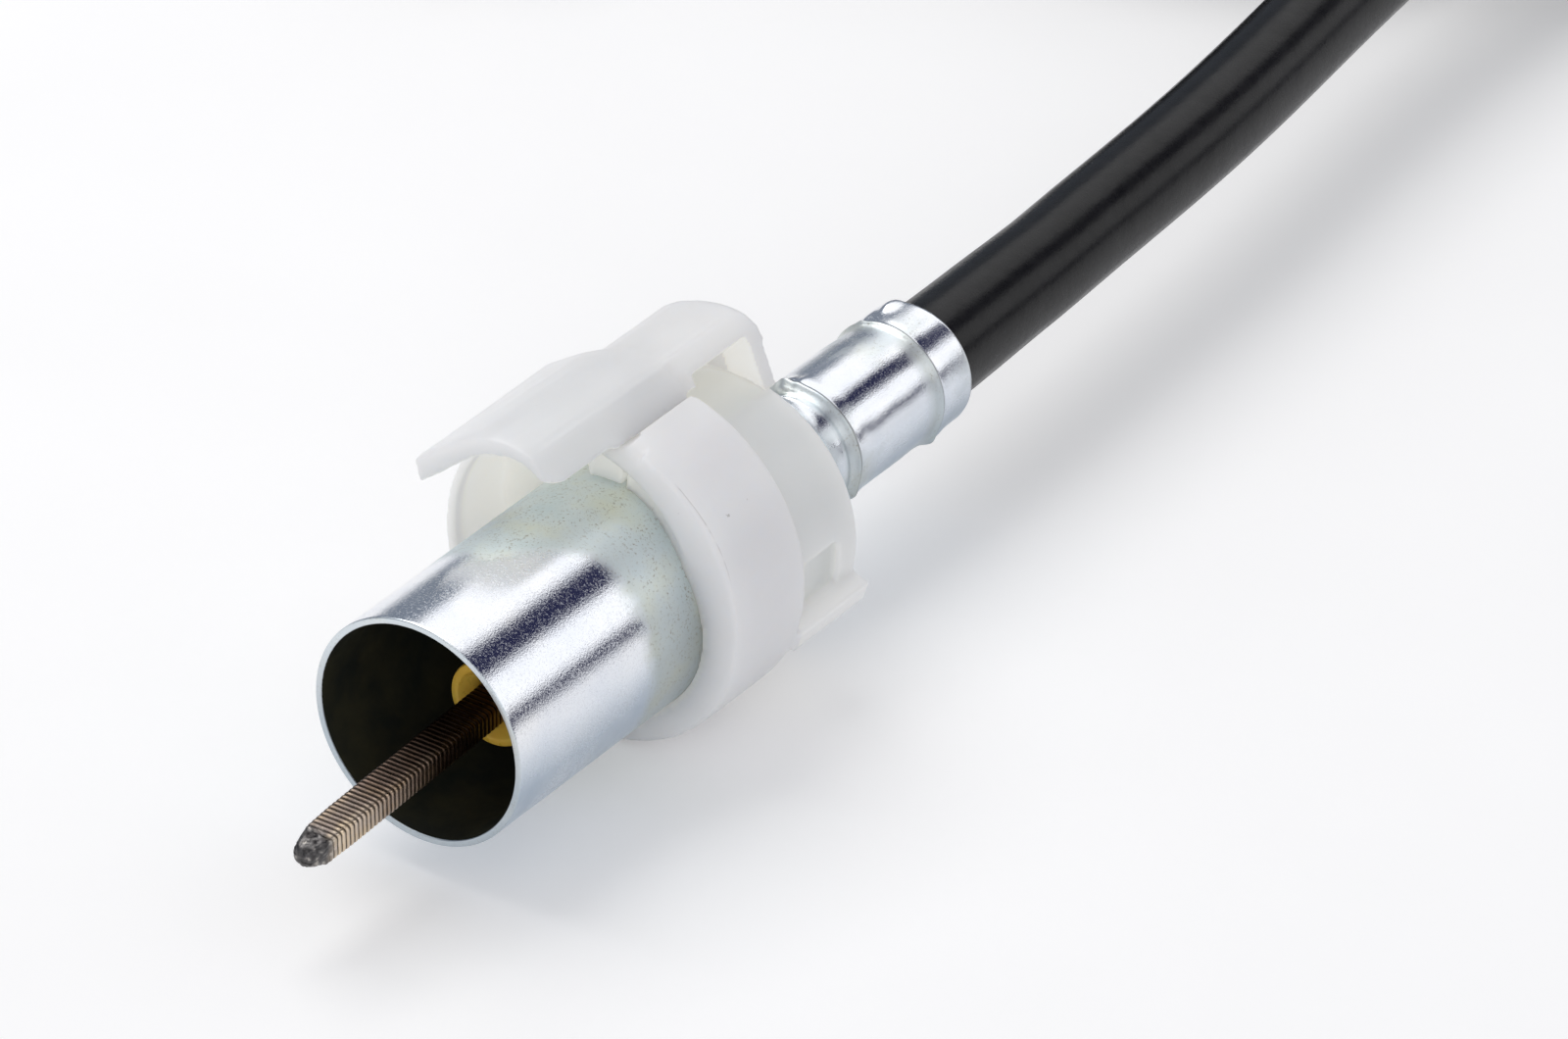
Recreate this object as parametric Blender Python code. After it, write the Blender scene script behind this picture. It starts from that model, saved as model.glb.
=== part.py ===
"""Upper section of a speedometer drive cable, lying on a bench.

A zinc-plated steel sleeve carries a white moulded clip with a lifting lever. The sleeve's neck
is crimped on a black casing, and a wire-wound shaft with a squared end turns inside. The casing
runs along the bench into a coil and ends in a crimped ferrule with a coupling nut.

World frame: +Y runs along the sleeve from its mouth to the casing, +Z is up and the bench is
z = 0. Sizes are millimetres. "along" counts from the sleeve's mouth, "angle" turns about the
sleeve's axis from +X towards +Z.
"""

import math

import bmesh
import bpy
from mathutils import Matrix, Vector
from mathutils.geometry import interpolate_bezier

MM = 0.001

# Clearance between touching pieces
GAP = 0.3

# Steel sleeve with its drawn neck and crimped tube
SLEEVE_R = 9.25
SLEEVE_WALL = 0.55
SLEEVE_CYLINDER = 37.0
SHOULDER = 9.6
NECK_R = 4.75
TUBE_R = 5.05
TUBE_LONG = 16.2
CRIMP_RIDGE = 0.35
CRIMP_FRONT = 1.5
CRIMP_BACK = 3.9
PINCH = 0.45
PINCHES = ((-42.0, 12.3), (110.0, 15.2), (110.0, 1.5))
SLEEVE_SIDES = 64

# Casing and what it holds
CASING_R = 4.0
CASING_SWELL = 1.06
CASING_BORE_R = 3.45
CONDUIT_R = 2.8
CONDUIT_BORE_R = 1.95
CONDUIT_FRONT = 13.4

# Drive shaft: it hangs a little low in the sleeve, so its line crosses the sleeve's axis
SHAFT_R = 1.6
SHAFT_FLATS = 2.6
SHAFT_CORNER = 0.35
SHAFT_OUT = 14.1
SHAFT_SQUARE = 34.0
SHAFT_CROSSING = 56.0
SHAFT_DROOP = 2.65
SHAFT_ROLL = 12.0
SHAFT_TIP_TAPER = 1.1

# Brass bush at the front of the conduit
BUSH_R = 3.5
BUSH_LONG = 8.0
BUSH_FACE = 8.5
BUSH_CONE_R = 2.9
BUSH_CONE_DEEP = 1.5

# Moulded clip: a collar set off the sleeve's axis and a cage behind it
CLIP_R = 13.3
CLIP_OFF_X = -0.75
CLIP_OFF_Z = 1.3
CLIP_OVER_SHOULDER = 3.0
COLLAR_LONG = 9.0
COLLAR_ROUND = 1.8
CAGE_R = 10.9
CAGE_LONG = 9.0
CAGE_LIP = 0.8
POCKET_R = 11.0
POCKET_OFF_X = -2.2
POCKET_OFF_Z = 1.8
POCKET_DEEP = 6.0
WINDOW_LONG = 4.4
WINDOW_IN = 2.7
WINDOW_SKIN = 0.5
WINDOW_ANGLE = 20.0
WINDOW_AT = -4.0
RIB_AT = -19.0
RIB_THICK = 1.7
RIB_R = 12.4
CLIP_MIRROR_ANGLE = 98.0
CLIP_SIDES = 72

# Lifting lever on the clip, in a plane turned from +X. Sections run from its left edge over its
# crown to its right edge, and back along its underside.
LEVER_ANGLE = 106.0
LEVER_OVERHANG = 7.9
WING_LONG = 16.3
WING_OVER = (
    (-6.9, 14.7), (-4.8, 15.65), (-2.8, 16.4), (-1.0, 16.75), (0.8, 16.8),
    (2.3, 16.5), (3.5, 16.0), (4.4, 15.4), (5.1, 14.2), (5.7, 12.95),
)
WING_UNDER = (
    (4.6, 12.95), (4.35, 14.0), (3.4, 14.9), (2.2, 15.35), (0.4, 15.5),
    (-1.2, 15.25), (-2.8, 14.6), (-4.8, 13.7), (-6.95, 12.8),
)
WING_BACK_OVER = (
    (-6.9, 14.7), (-4.9, 15.35), (-2.9, 15.9), (-1.2, 16.15), (0.6, 16.3),
    (2.1, 16.1), (3.2, 15.8), (4.1, 15.4), (5.2, 14.3), (5.8, 12.95),
)
WING_BACK_UNDER = (
    (4.65, 12.95), (4.3, 13.9), (3.4, 14.6), (2.2, 15.0), (0.4, 15.1),
    (-1.0, 14.9), (-2.8, 14.2), (-4.8, 13.5), (-6.95, 12.8),
)
BAR_OVER = (
    (-3.15, 14.2), (-3.0, 15.0), (-2.4, 15.55), (-1.0, 15.95), (0.8, 16.1),
    (2.2, 16.0), (3.4, 15.75), (4.6, 15.3), (5.6, 14.4), (5.95, 12.95),
)
BAR_UNDER = (
    (4.7, 12.95), (4.3, 13.9), (3.5, 14.4), (2.2, 14.75), (0.4, 14.85),
    (-0.6, 14.8), (-1.3, 14.5), (-1.75, 13.8), (-1.95, 12.95),
)
LEVER_RIGHT = 5.95
LEVER_LEFT = 3.15
LEVER_CHAMFER = 0.65
CHANNEL_FLOOR = 12.5
LEG_THICK = 1.5
LEG = (
    (-3.3, 8.0), (-3.0, 13.8), (-2.6, 14.6), (-1.4, 15.1), (0.5, 15.3),
    (2.6, 15.1), (4.3, 14.7), (5.4, 13.9), (5.9, 12.8), (6.35, 8.0),
)
LEVER_WINDOW_TOP = 13.9
HINGE_RISE = 0.3
BARB_IN = 4.4
BARB_LONG = 2.4
BARB_WIDE = 2.0
BARB_SIDE = 2.0
BARB_REACH = 1.35
BARB_SWING = 0.9

# Free casing: points by hand from the sleeve's tube to the coil, counted from the tube's end
ROUTE = (
    (0.0, 0.3, 0.0),
    (-0.1, 5.2, 0.0),
    (-0.3, 11.2, 0.0),
    (-0.45, 17.2, 0.0),
    (-0.8, 23.2, 0.0),
    (-1.15, 30.2, 0.0),
    (-1.55, 37.2, 0.0),
    (-2.15, 44.7, 0.0),
    (-2.95, 52.2, 0.0),
    (-3.8, 59.7, 0.1),
    (-4.6, 67.2, 0.2),
    (-5.2, 74.7, 0.35),
    (-5.35, 81.7, 0.5),
    (-4.85, 88.7, 0.6),
    (-3.54, 94.8, 0.6),
)
ROUTE_STEP = 16.0
RUN_SWELL_LONG = 18.0

# Coil on the bench: it goes in on its upper layer and comes out on the bench
COIL_R = 40.0
COIL_TURNS = 62 / 24
COIL_IN_TURNS = 1.45
COIL_PITCH = 8.6
COIL_LAYER = 8.6
LOOP_POINTS = 24
COIL_START = -20.0

# Tail and the gearbox end's fitting
TAIL_LONG = 24.0
TAIL_STEPS = 6
FAR_TUBE_R = 5.05
FAR_TUBE_LONG = 17.0
FAR_FLANGE_R = 6.6
FAR_FLANGE_LONG = 2.0
NUT_R = 9.0
NUT_LONG = 14.0
NUT_WALL = 1.7
NUT_BACK_WALL = 2.2
NUT_FLUTES = 18
NUT_FLUTE_DEEP = 0.5
FAR_BUSH_R = 4.2
FAR_BUSH_LONG = 6.0
FAR_BUSH_STEM = 9.0
FAR_SHAFT_OUT = 16.0
WASHER_THICK = 1.2
THRUST_R = 3.4
THRUST_THICK = 0.8

# Worked out from the sizes above
TUBE_START = SLEEVE_CYLINDER + SHOULDER
SLEEVE_END = TUBE_START + TUBE_LONG
CLIP_BACK = SLEEVE_CYLINDER + CLIP_OVER_SHOULDER
CLIP_FRONT = CLIP_BACK - CAGE_LONG - COLLAR_LONG
WINDOW_BACK = CLIP_BACK - WINDOW_IN
LEVER_FRONT = CLIP_FRONT - LEVER_OVERHANG
BARB_AT = CLIP_FRONT + BARB_IN
AXIS = Vector((-CLIP_OFF_X, -(SLEEVE_END - SHAFT_OUT) / 2, CLIP_R - CLIP_OFF_Z))
SLEEVE_BORE_R = SLEEVE_R - SLEEVE_WALL
TUBE_BORE_R = TUBE_R - SLEEVE_WALL
CASING_END_R = TUBE_BORE_R - GAP
CLIP_BORE_R = SLEEVE_R + GAP
TUBE_MOUTH = AXIS + Vector((0.0, SLEEVE_END, 0.0))


def clear_scene():
    for thing in list(bpy.data.objects):
        bpy.data.objects.remove(thing)


def finish(name, colour, metallic, roughness):
    """A Principled material of one colour."""
    material = bpy.data.materials.new(name)
    material.use_nodes = True
    shader = material.node_tree.nodes["Principled BSDF"]
    shader.inputs["Base Color"].default_value = (*colour, 1.0)
    shader.inputs["Metallic"].default_value = metallic
    shader.inputs["Roughness"].default_value = roughness
    material.diffuse_color = (*colour, 1.0)
    return material


def add_object(name, bm, material, matrix):
    """The bmesh, in millimetres, as an object of metres at the matrix."""
    bmesh.ops.remove_doubles(bm, verts=bm.verts, dist=1e-5)
    bmesh.ops.recalc_face_normals(bm, faces=bm.faces)
    bmesh.ops.scale(bm, vec=(MM, MM, MM), verts=bm.verts)
    mesh = bpy.data.meshes.new(name)
    bm.to_mesh(mesh)
    bm.free()
    mesh.shade_smooth()
    mesh.set_sharp_from_angle(angle=math.radians(35))
    thing = bpy.data.objects.new(name, mesh)
    bpy.context.scene.collection.objects.link(thing)
    thing.matrix_world = matrix
    if material:
        mesh.materials.append(material)
    else:
        thing.hide_render = True
        thing.display_type = "WIRE"
    return thing


def spun(profile, sides):
    """Turns (along, radius) pairs, which run round a section, about the Y axis."""
    bm = bmesh.new()
    corners = [bm.verts.new((radius, along, 0.0)) for along, radius in profile]
    edges = [bm.edges.new((corners[i - 1], corners[i])) for i in range(len(corners))]
    bmesh.ops.spin(
        bm, geom=edges, cent=(0, 0, 0), axis=(0, 1, 0), dvec=(0, 0, 0),
        angle=math.tau, steps=sides, use_merge=True,
    )
    bmesh.ops.remove_doubles(bm, verts=bm.verts, dist=1e-5)
    return bm


def lofted(rings):
    """Joins closed rings of equal count, with a face at each end."""
    bm = bmesh.new()
    rows = [[bm.verts.new(point) for point in ring] for ring in rings]
    for near, far in zip(rows, rows[1:]):
        for i in range(len(near)):
            bm.faces.new((near[i - 1], near[i], far[i], far[i - 1]))
    bm.faces.new(rows[0])
    bm.faces.new(rows[-1])
    return bm


def block(low, high):
    """A box between two corners."""
    (x0, y0, z0), (x1, y1, z1) = low, high
    return lofted([[(x, y, z) for x, z in ((x0, z0), (x1, z0), (x1, z1), (x0, z1))] for y in (y0, y1)])


def cut(thing, cutter, operation="DIFFERENCE"):
    modifier = thing.modifiers.new(cutter.name, "BOOLEAN")
    modifier.operation = operation
    modifier.solver = "EXACT"
    modifier.object = cutter


def at(across, along, up):
    """A point given from the centre of the sleeve's mouth, in metres."""
    return (AXIS + Vector((across, along, up))) * MM


def on_axis(across=0.0, along=0.0, up=0.0, turn=0.0):
    """A frame at a point by the sleeve's axis, turned about it from +X towards +Z."""
    return Matrix.Translation(at(across, along, up)) @ Matrix.Rotation(-math.radians(turn), 4, "Y")


def on_shaft(roll=0.0):
    """The shaft's frame: its Y runs along the shaft, from where it crosses the sleeve's axis."""
    lean = Matrix.Rotation(math.radians(SHAFT_DROOP), 4, "X")
    return Matrix.Translation(at(0, SHAFT_CROSSING, 0)) @ lean @ Matrix.Rotation(math.radians(roll), 4, "Y")


def on_lever():
    """The lever's frame: X across it, Y along the sleeve and Z out from the sleeve's axis."""
    return on_axis(turn=LEVER_ANGLE - 90.0)


def drawn_tube(start, ridges):
    """The outside of a crimped tube: a raised line at each crimp and waists beside them."""
    profile = []
    for ridge in ridges:
        for offset, rise in ((-0.5, -0.05), (-0.1, 0.0), (0.1, CRIMP_RIDGE), (0.45, 0.05), (1.2, 0.0)):
            profile.append((start + ridge + offset, TUBE_R + rise))
    return profile


def connector_sleeve(material):
    """One drawn shell: plain cylinder, shoulder, neck and the tube crimped on the casing."""
    crimps = (CRIMP_FRONT, TUBE_LONG - CRIMP_BACK)
    fall = SLEEVE_R - NECK_R
    outside = [(0.0, SLEEVE_R - 0.12), (0.15, SLEEVE_R), (SLEEVE_CYLINDER, SLEEVE_R)]
    for i in range(1, 9):
        share = i / 8
        drop = (1 - math.cos(math.pi * share)) / 2
        outside.append((SLEEVE_CYLINDER + SHOULDER * share ** 0.85, SLEEVE_R - fall * drop))
    outside += drawn_tube(TUBE_START, crimps)
    outside += [(SLEEVE_END - 0.4, TUBE_R + 0.12), (SLEEVE_END, TUBE_R)]
    inside = [(SLEEVE_END, TUBE_BORE_R), (TUBE_START + 0.8, TUBE_BORE_R)]
    for share in (1.0, 0.8, 0.62, 0.45, 0.28, 0.12):
        drop = (1 - math.cos(math.pi * share)) / 2
        bore = SLEEVE_BORE_R - (SLEEVE_BORE_R - NECK_R + SLEEVE_WALL) * drop
        inside.append((SLEEVE_CYLINDER - SLEEVE_WALL / 2 + SHOULDER * share ** 0.85, bore))
    inside += [(SLEEVE_CYLINDER - 0.6, SLEEVE_BORE_R), (0.0, SLEEVE_BORE_R)]
    bm = spun(outside + inside, SLEEVE_SIDES)
    pinch_crimps(bm)
    sleeve = add_object("connector_sleeve", bm, material, on_axis())
    low = (BARB_SIDE - BARB_WIDE / 2 - GAP - 0.1, BARB_AT - BARB_LONG / 2 - BARB_SWING, 0.0)
    high = (BARB_SIDE + BARB_WIDE / 2 + GAP + 0.1, BARB_AT + BARB_LONG / 2 + GAP, 2 * SLEEVE_R)
    cut(sleeve, add_object("sleeve_slot_cutter", block(low, high), None, on_lever()))
    return sleeve


def pinch_crimps(bm):
    """The crimping jaws part on two sides, where they leave small folds on the tube."""
    for vert in bm.verts:
        radius = math.hypot(vert.co.x, vert.co.z)
        if radius < TUBE_R - SLEEVE_WALL / 2 or vert.co.y < TUBE_START:
            continue
        turn = math.degrees(math.atan2(vert.co.z, vert.co.x))
        rise = 0.0
        for angle, along in PINCHES:
            from_fold = abs((turn - angle + 180) % 360 - 180)
            off = abs(vert.co.y - TUBE_START - along)
            rise = max(rise, PINCH * max(0.0, 1 - from_fold / 9) * max(0.0, 1 - off / 1.4))
        vert.co.x *= 1 + rise / radius
        vert.co.z *= 1 + rise / radius


def casing_end(material):
    """The casing's end inside the crimped tube, bored for the conduit."""
    front, back = TUBE_START + 0.5, SLEEVE_END
    deep = back - 1.5
    outside = [(front, CASING_BORE_R), (front, CASING_END_R), (back, CASING_END_R), (back, 0.0)]
    return add_object(
        "casing_end", spun(outside + [(deep, 0.0), (deep, CASING_BORE_R)], 32), material, on_axis()
    )


def conduit(material):
    """Wound steel conduit from the bush to the casing's end."""
    front, back = CONDUIT_FRONT - SHAFT_CROSSING, SLEEVE_END - 2.6 - SHAFT_CROSSING
    ring = [(front, CONDUIT_BORE_R), (front, CONDUIT_R), (back, CONDUIT_R), (back, CONDUIT_BORE_R)]
    return add_object("steel_conduit", spun(ring, 32), material, on_shaft())


def casing_bush(material):
    """Brass bush with a conical mouth, seated on the conduit's front."""
    face = BUSH_FACE - SHAFT_CROSSING
    back = face + BUSH_LONG
    step = CONDUIT_FRONT - SHAFT_CROSSING - GAP
    ring = [
        (face, BUSH_CONE_R), (face, BUSH_R - 0.2), (face + 0.2, BUSH_R), (back, BUSH_R),
        (back, CONDUIT_R + GAP), (step, CONDUIT_R + GAP), (step, CONDUIT_BORE_R),
        (face + BUSH_CONE_DEEP, CONDUIT_BORE_R),
    ]
    return add_object("casing_bush", spun(ring, 40), material, on_shaft())


def rounded_square(flats, corner, along, steps=3):
    """A ring of a rounded square about the Y axis."""
    reach = flats / 2 - corner
    ring = []
    for side in range(4):
        middle = Matrix.Rotation(math.pi / 2 * side, 2) @ Vector((reach, reach))
        for step in range(steps):
            angle = math.pi / 2 * (side + step / (steps - 1))
            ring.append((middle.x + corner * math.cos(angle), along, middle.y + corner * math.sin(angle)))
    return ring


def shaft_rings(tip, square_end, back, sign=1):
    """The shaft's outline: a rounded tip, a swaged square and the round wound shaft."""
    steps = ((0.0, 0.55), (0.25, 0.78), (SHAFT_TIP_TAPER, 0.96), (2.6, 1.0))
    rings = []
    for offset, share in steps:
        flats = SHAFT_FLATS * share
        rings.append(rounded_square(flats, SHAFT_CORNER + (1 - share) * 0.9, tip + sign * offset))
    rings.append(rounded_square(SHAFT_FLATS, SHAFT_CORNER, square_end))
    rings.append(rounded_square(2 * SHAFT_R, SHAFT_R * 0.99, square_end + sign * 2.0))
    rings.append(rounded_square(2 * SHAFT_R, SHAFT_R * 0.99, back))
    return rings


def drive_shaft(material):
    """Wire-wound shaft with its squared end out of the sleeve's mouth."""
    tip = -SHAFT_OUT - SHAFT_CROSSING
    rings = shaft_rings(tip, tip + SHAFT_SQUARE, SLEEVE_END - 3.5 - SHAFT_CROSSING)
    return add_object("drive_shaft", lofted(rings), material, on_shaft(SHAFT_ROLL))


def clip_body(material):
    """Collar and rear cage in one moulding, with the lever's channel and a recess on each side."""
    collar_back = CLIP_FRONT + COLLAR_LONG
    arc = [
        (CLIP_FRONT + COLLAR_ROUND * (1 - math.sin(t)), CLIP_R - COLLAR_ROUND * (1 - math.cos(t)))
        for t in (math.pi / 2 * (1 - i / 5) for i in range(6))
    ]
    collar = arc + [(collar_back - 0.5, CLIP_R), (collar_back, CLIP_R - 0.5)]
    collar += [(collar_back, SLEEVE_R - 2.0), (CLIP_FRONT, SLEEVE_R - 2.0)]
    body = add_object(
        "clip_body", spun(collar, CLIP_SIDES), material, on_axis(across=CLIP_OFF_X, up=CLIP_OFF_Z)
    )
    cage = [
        (collar_back - 1.0, SLEEVE_R - 2.0), (collar_back - 1.0, CAGE_R),
        (CLIP_BACK - 0.6, CAGE_R), (CLIP_BACK, CAGE_R - 0.6), (CLIP_BACK, SLEEVE_R - 2.0),
    ]
    cut(body, add_object("cage_form", spun(cage, CLIP_SIDES), None, on_axis()), "UNION")
    for mirrored in (False, True):
        rib = turned_about_mirror(RIB_AT, mirrored)
        form = block(
            (CAGE_R - 1.0, collar_back - 0.5, -RIB_THICK / 2), (RIB_R, CLIP_BACK - 0.3, RIB_THICK / 2)
        )
        cut(body, add_object(f"rib_form_{int(mirrored)}", form, None, on_axis(turn=rib)), "UNION")
    for mirrored in (False, True):
        window = turned_about_mirror(WINDOW_AT, mirrored)
        half = CAGE_R * math.sin(math.radians(WINDOW_ANGLE / 2))
        front, floor = WINDOW_BACK - WINDOW_LONG, CLIP_BORE_R + WINDOW_SKIN
        form = block((floor, front, -half), (RIB_R + 1, WINDOW_BACK, half))
        cut(body, add_object(f"window_cutter_{int(mirrored)}", form, None, on_axis(turn=window)))
    cut(body, add_object("clip_bore_cutter", spun(clip_bore(), SLEEVE_SIDES), None, on_axis()))
    pocket = [
        (CLIP_FRONT - 1.0, 0.0), (CLIP_FRONT - 1.0, POCKET_R),
        (CLIP_FRONT + POCKET_DEEP, POCKET_R - 0.3), (CLIP_FRONT + POCKET_DEEP, 0.0),
    ]
    centre = on_axis(across=POCKET_OFF_X, up=POCKET_OFF_Z)
    cut(body, add_object("pocket_cutter", spun(pocket, CLIP_SIDES), None, centre))
    channel = block(
        (WING_UNDER[-1][0] - 2 * GAP, CLIP_FRONT - 1.0, CHANNEL_FLOOR),
        (LEVER_RIGHT + GAP, collar_back + 1.0, CHANNEL_FLOOR + 8.0),
    )
    cut(body, add_object("channel_cutter", channel, None, on_lever()))
    slot = block(
        (BARB_SIDE - BARB_WIDE / 2 - 0.5, BARB_AT - BARB_LONG / 2 - BARB_SWING - 0.4, SLEEVE_R - 1.0),
        (BARB_SIDE + BARB_WIDE / 2 + 0.5, BARB_AT + BARB_LONG / 2 + 0.5, CHANNEL_FLOOR + 1.0),
    )
    cut(body, add_object("barb_slot_cutter", slot, None, on_lever()))
    return body


def turned_about_mirror(angle, mirrored):
    return 2 * CLIP_MIRROR_ANGLE - angle if mirrored else angle


def clip_bore():
    """The clip's bore follows the sleeve, with a lip behind its shoulder."""
    lip = CLIP_BACK - CAGE_LIP
    share = ((lip - SLEEVE_CYLINDER) / SHOULDER) ** (1 / 0.85)
    lip_r = SLEEVE_R - (SLEEVE_R - NECK_R) * (1 - math.cos(math.pi * share)) / 2 + GAP
    return [
        (CLIP_FRONT - 1.0, 0.0), (CLIP_FRONT - 1.0, CLIP_BORE_R), (SLEEVE_CYLINDER + 1.0, CLIP_BORE_R),
        (lip, lip_r), (CLIP_BACK + 1.0, lip_r), (CLIP_BACK + 1.0, 0.0),
    ]


def lever_section(along, over, under, lift=0.0, drop=0.0):
    """A ring across the lever, with its right wall's foot lifted or its crown let down a little."""
    foot = under[0][1]
    outline = [(q, h - drop if h > foot + 0.5 else h + lift * (q > 0)) for q, h in over + under]
    return [(q, along, h) for q, h in outline]


def release_lever(material):
    """Winged lever over the collar, with its hinge leg behind and a barb that locks the sleeve."""
    wing_end = LEVER_FRONT + WING_LONG
    leg_front = CLIP_BACK - LEG_THICK
    stations = (
        (LEVER_FRONT, WING_OVER, WING_UNDER, LEVER_CHAMFER, 0.08),
        (LEVER_FRONT + 0.5, WING_OVER, WING_UNDER, LEVER_CHAMFER / 2),
        (LEVER_FRONT + 1.5, WING_OVER, WING_UNDER),
        (wing_end, WING_BACK_OVER, WING_BACK_UNDER),
        (wing_end + 0.9, BAR_OVER, BAR_UNDER),
        (CLIP_BACK - 0.5, BAR_OVER, BAR_UNDER, 0.0, 0.05),
        (CLIP_BACK, BAR_OVER, BAR_UNDER, 0.0, 0.25),
    )
    bm = lofted([lever_section(*station) for station in stations])
    matrix = on_lever() @ Matrix.Translation(Vector((0, hinge_along(), hinge_height())) * MM)
    bmesh.ops.translate(bm, vec=(0, -hinge_along(), -hinge_height()), verts=bm.verts)
    lever = add_object("release_lever", bm, material, matrix)
    form = lofted([[(q, along, h) for q, h in LEG] for along in (leg_front, CLIP_BACK - 0.2)])
    cut(lever, add_object("leg_form", form, None, on_lever()), "UNION")
    foot_r = CAGE_R + GAP
    foot = [(CLIP_FRONT, 0.0), (CLIP_FRONT, foot_r), (CLIP_BACK + 2, foot_r), (CLIP_BACK + 2, 0.0)]
    cut(lever, add_object("foot_cutter", spun(foot, SLEEVE_SIDES), None, on_axis()))
    window = block(
        (LEVER_RIGHT - 2.0, CLIP_FRONT + COLLAR_LONG + 0.6, CAGE_R),
        (LEVER_RIGHT + 1.5, leg_front - 0.1, LEVER_WINDOW_TOP),
    )
    cut(lever, add_object("lever_window_cutter", window, None, on_lever()))
    low = (BARB_SIDE - BARB_WIDE / 2, BARB_AT - BARB_LONG / 2, SLEEVE_BORE_R - BARB_REACH + SLEEVE_WALL)
    high = (BARB_SIDE + BARB_WIDE / 2, BARB_AT + BARB_LONG / 2, WING_UNDER[4][1] + 0.4)
    cut(lever, add_object("barb_form", block(low, high), None, on_lever()), "UNION")
    return lever


def hinge_along():
    return CLIP_BACK - LEG_THICK / 2


def hinge_height():
    return CAGE_R + GAP + HINGE_RISE


def smooth_line(points, per_stretch=12):
    """A dense smooth line through points, as cubic arcs whose slopes follow the neighbours."""
    points = [Vector(point) for point in points]
    line = []
    for i in range(len(points) - 1):
        before, start, end, after = (
            points[max(i - 1, 0)], points[i], points[i + 1], points[min(i + 2, len(points) - 1)]
        )
        long = (end - start).length
        leave = (end - before).normalized() * long / 3
        arrive = (after - start).normalized() * long / 3
        line += interpolate_bezier(start, start + leave, end - arrive, end, per_stretch)[:-1]
    return line + [points[-1]]


def spaced(line, step):
    """Points at even steps along a dense line, with both of its ends."""
    lengths = [0.0]
    for a, b in zip(line, line[1:]):
        lengths.append(lengths[-1] + (b - a).length)
    count = max(2, round(lengths[-1] / step))
    found = []
    place = 0
    for i in range(count + 1):
        target = lengths[-1] * i / count
        while place < len(line) - 2 and lengths[place + 1] < target:
            place += 1
        share = (target - lengths[place]) / max(lengths[place + 1] - lengths[place], 1e-9)
        found.append(line[place].lerp(line[place + 1], share))
    return found


def tube(name, points, sides_resolution, material, swell=None):
    """A round tube along points in millimetres, in the world frame."""
    curve = bpy.data.curves.new(name, "CURVE")
    curve.dimensions = "3D"
    curve.bevel_depth = CASING_R * MM
    curve.bevel_resolution = sides_resolution
    curve.use_fill_caps = True
    spline = curve.splines.new("POLY")
    spline.points.add(len(points) - 1)
    for i, point in enumerate(points):
        spline.points[i].co = (*(Vector(point) * MM), 1.0)
        spline.points[i].radius = swell(point) if swell else 1.0
    spline.use_smooth = True
    curve.materials.append(material)
    thing = bpy.data.objects.new(name, curve)
    bpy.context.scene.collection.objects.link(thing)
    return thing


def run_points():
    """The free casing from the sleeve's tube to the coil."""
    points = spaced(smooth_line([TUBE_MOUTH + Vector(point) for point in ROUTE]), ROUTE_STEP)
    turns = coil_points()
    ahead = (turns[1] - turns[0]).normalized()
    return points[:-1] + [points[-1] - ahead * CASING_R, points[-1]]


def run_swell(point):
    """The casing is squeezed fuller where it leaves the crimp."""
    from_exit = point.y - TUBE_MOUTH.y - GAP
    return 1.0 + (CASING_SWELL - 1.0) * max(0.0, 1 - from_exit / RUN_SWELL_LONG)


def coil_points():
    """The turns spiral in on the upper layer, drop to the bench and spiral out again."""
    outer = COIL_R + COIL_PITCH * COIL_TURNS / 4
    inner = outer - COIL_PITCH * COIL_IN_TURNS
    angle = math.radians(COIL_START)
    ahead = Vector((-math.sin(angle), math.cos(angle), 0)) * 2 * CASING_R
    gap = ahead.normalized() * GAP
    start = TUBE_MOUTH + Vector(ROUTE[-1]) + gap
    centre = start + ahead - Vector((math.cos(angle), math.sin(angle), 0)) * outer
    points = [start]
    count = round(COIL_TURNS * LOOP_POINTS)
    for i in range(count + 1):
        turn = i / LOOP_POINTS
        radius = outer - COIL_PITCH * turn
        if turn > COIL_IN_TURNS:
            radius = inner + COIL_PITCH * (turn - COIL_IN_TURNS)
        share = min(max((turn - COIL_IN_TURNS + 0.25) / 0.5, 0.0), 1.0)
        fall = COIL_LAYER * (1 - math.cos(math.pi * share)) / 2
        angle = math.tau * turn + math.radians(COIL_START)
        points.append(centre + Vector((radius * math.cos(angle), radius * math.sin(angle), -fall)))
    ahead = Vector((-math.sin(angle), math.cos(angle), 0)) * 2 * CASING_R
    return points + [points[-1] + ahead]


def least_self_gap(points):
    """The least distance between the surfaces of turns that aren't neighbours along the tube."""
    dense = spaced(points, 2.0)
    skip = round(math.pi * CASING_R * 3 / 2.0)
    least = min(
        (dense[i] - dense[j]).length for i in range(len(dense)) for j in range(i + skip, len(dense))
    )
    return least - 2 * CASING_R


def tail_points():
    """The casing from the coil on the bench up to the fitting, which lies on its nut."""
    turns = coil_points()
    ahead = (turns[-1] - turns[-2]).normalized()
    start = turns[-1] + ahead * GAP
    end = start + Vector((ahead.x * TAIL_LONG / 2, -TAIL_LONG, NUT_R - start.z))
    reach = TAIL_LONG * 0.4
    line = interpolate_bezier(start, start + ahead * reach, end + Vector((0, reach, 0)), end, 40)
    return spaced(line, TAIL_LONG / TAIL_STEPS)


def far_frame():
    """The gearbox end's frame: its Y runs from the fitting's mouth back towards the tail."""
    end = tail_points()[-1]
    mouth = end - Vector((0, GAP + FAR_TUBE_LONG + FAR_FLANGE_LONG, 0))
    return Matrix.Translation(mouth * MM)


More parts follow.
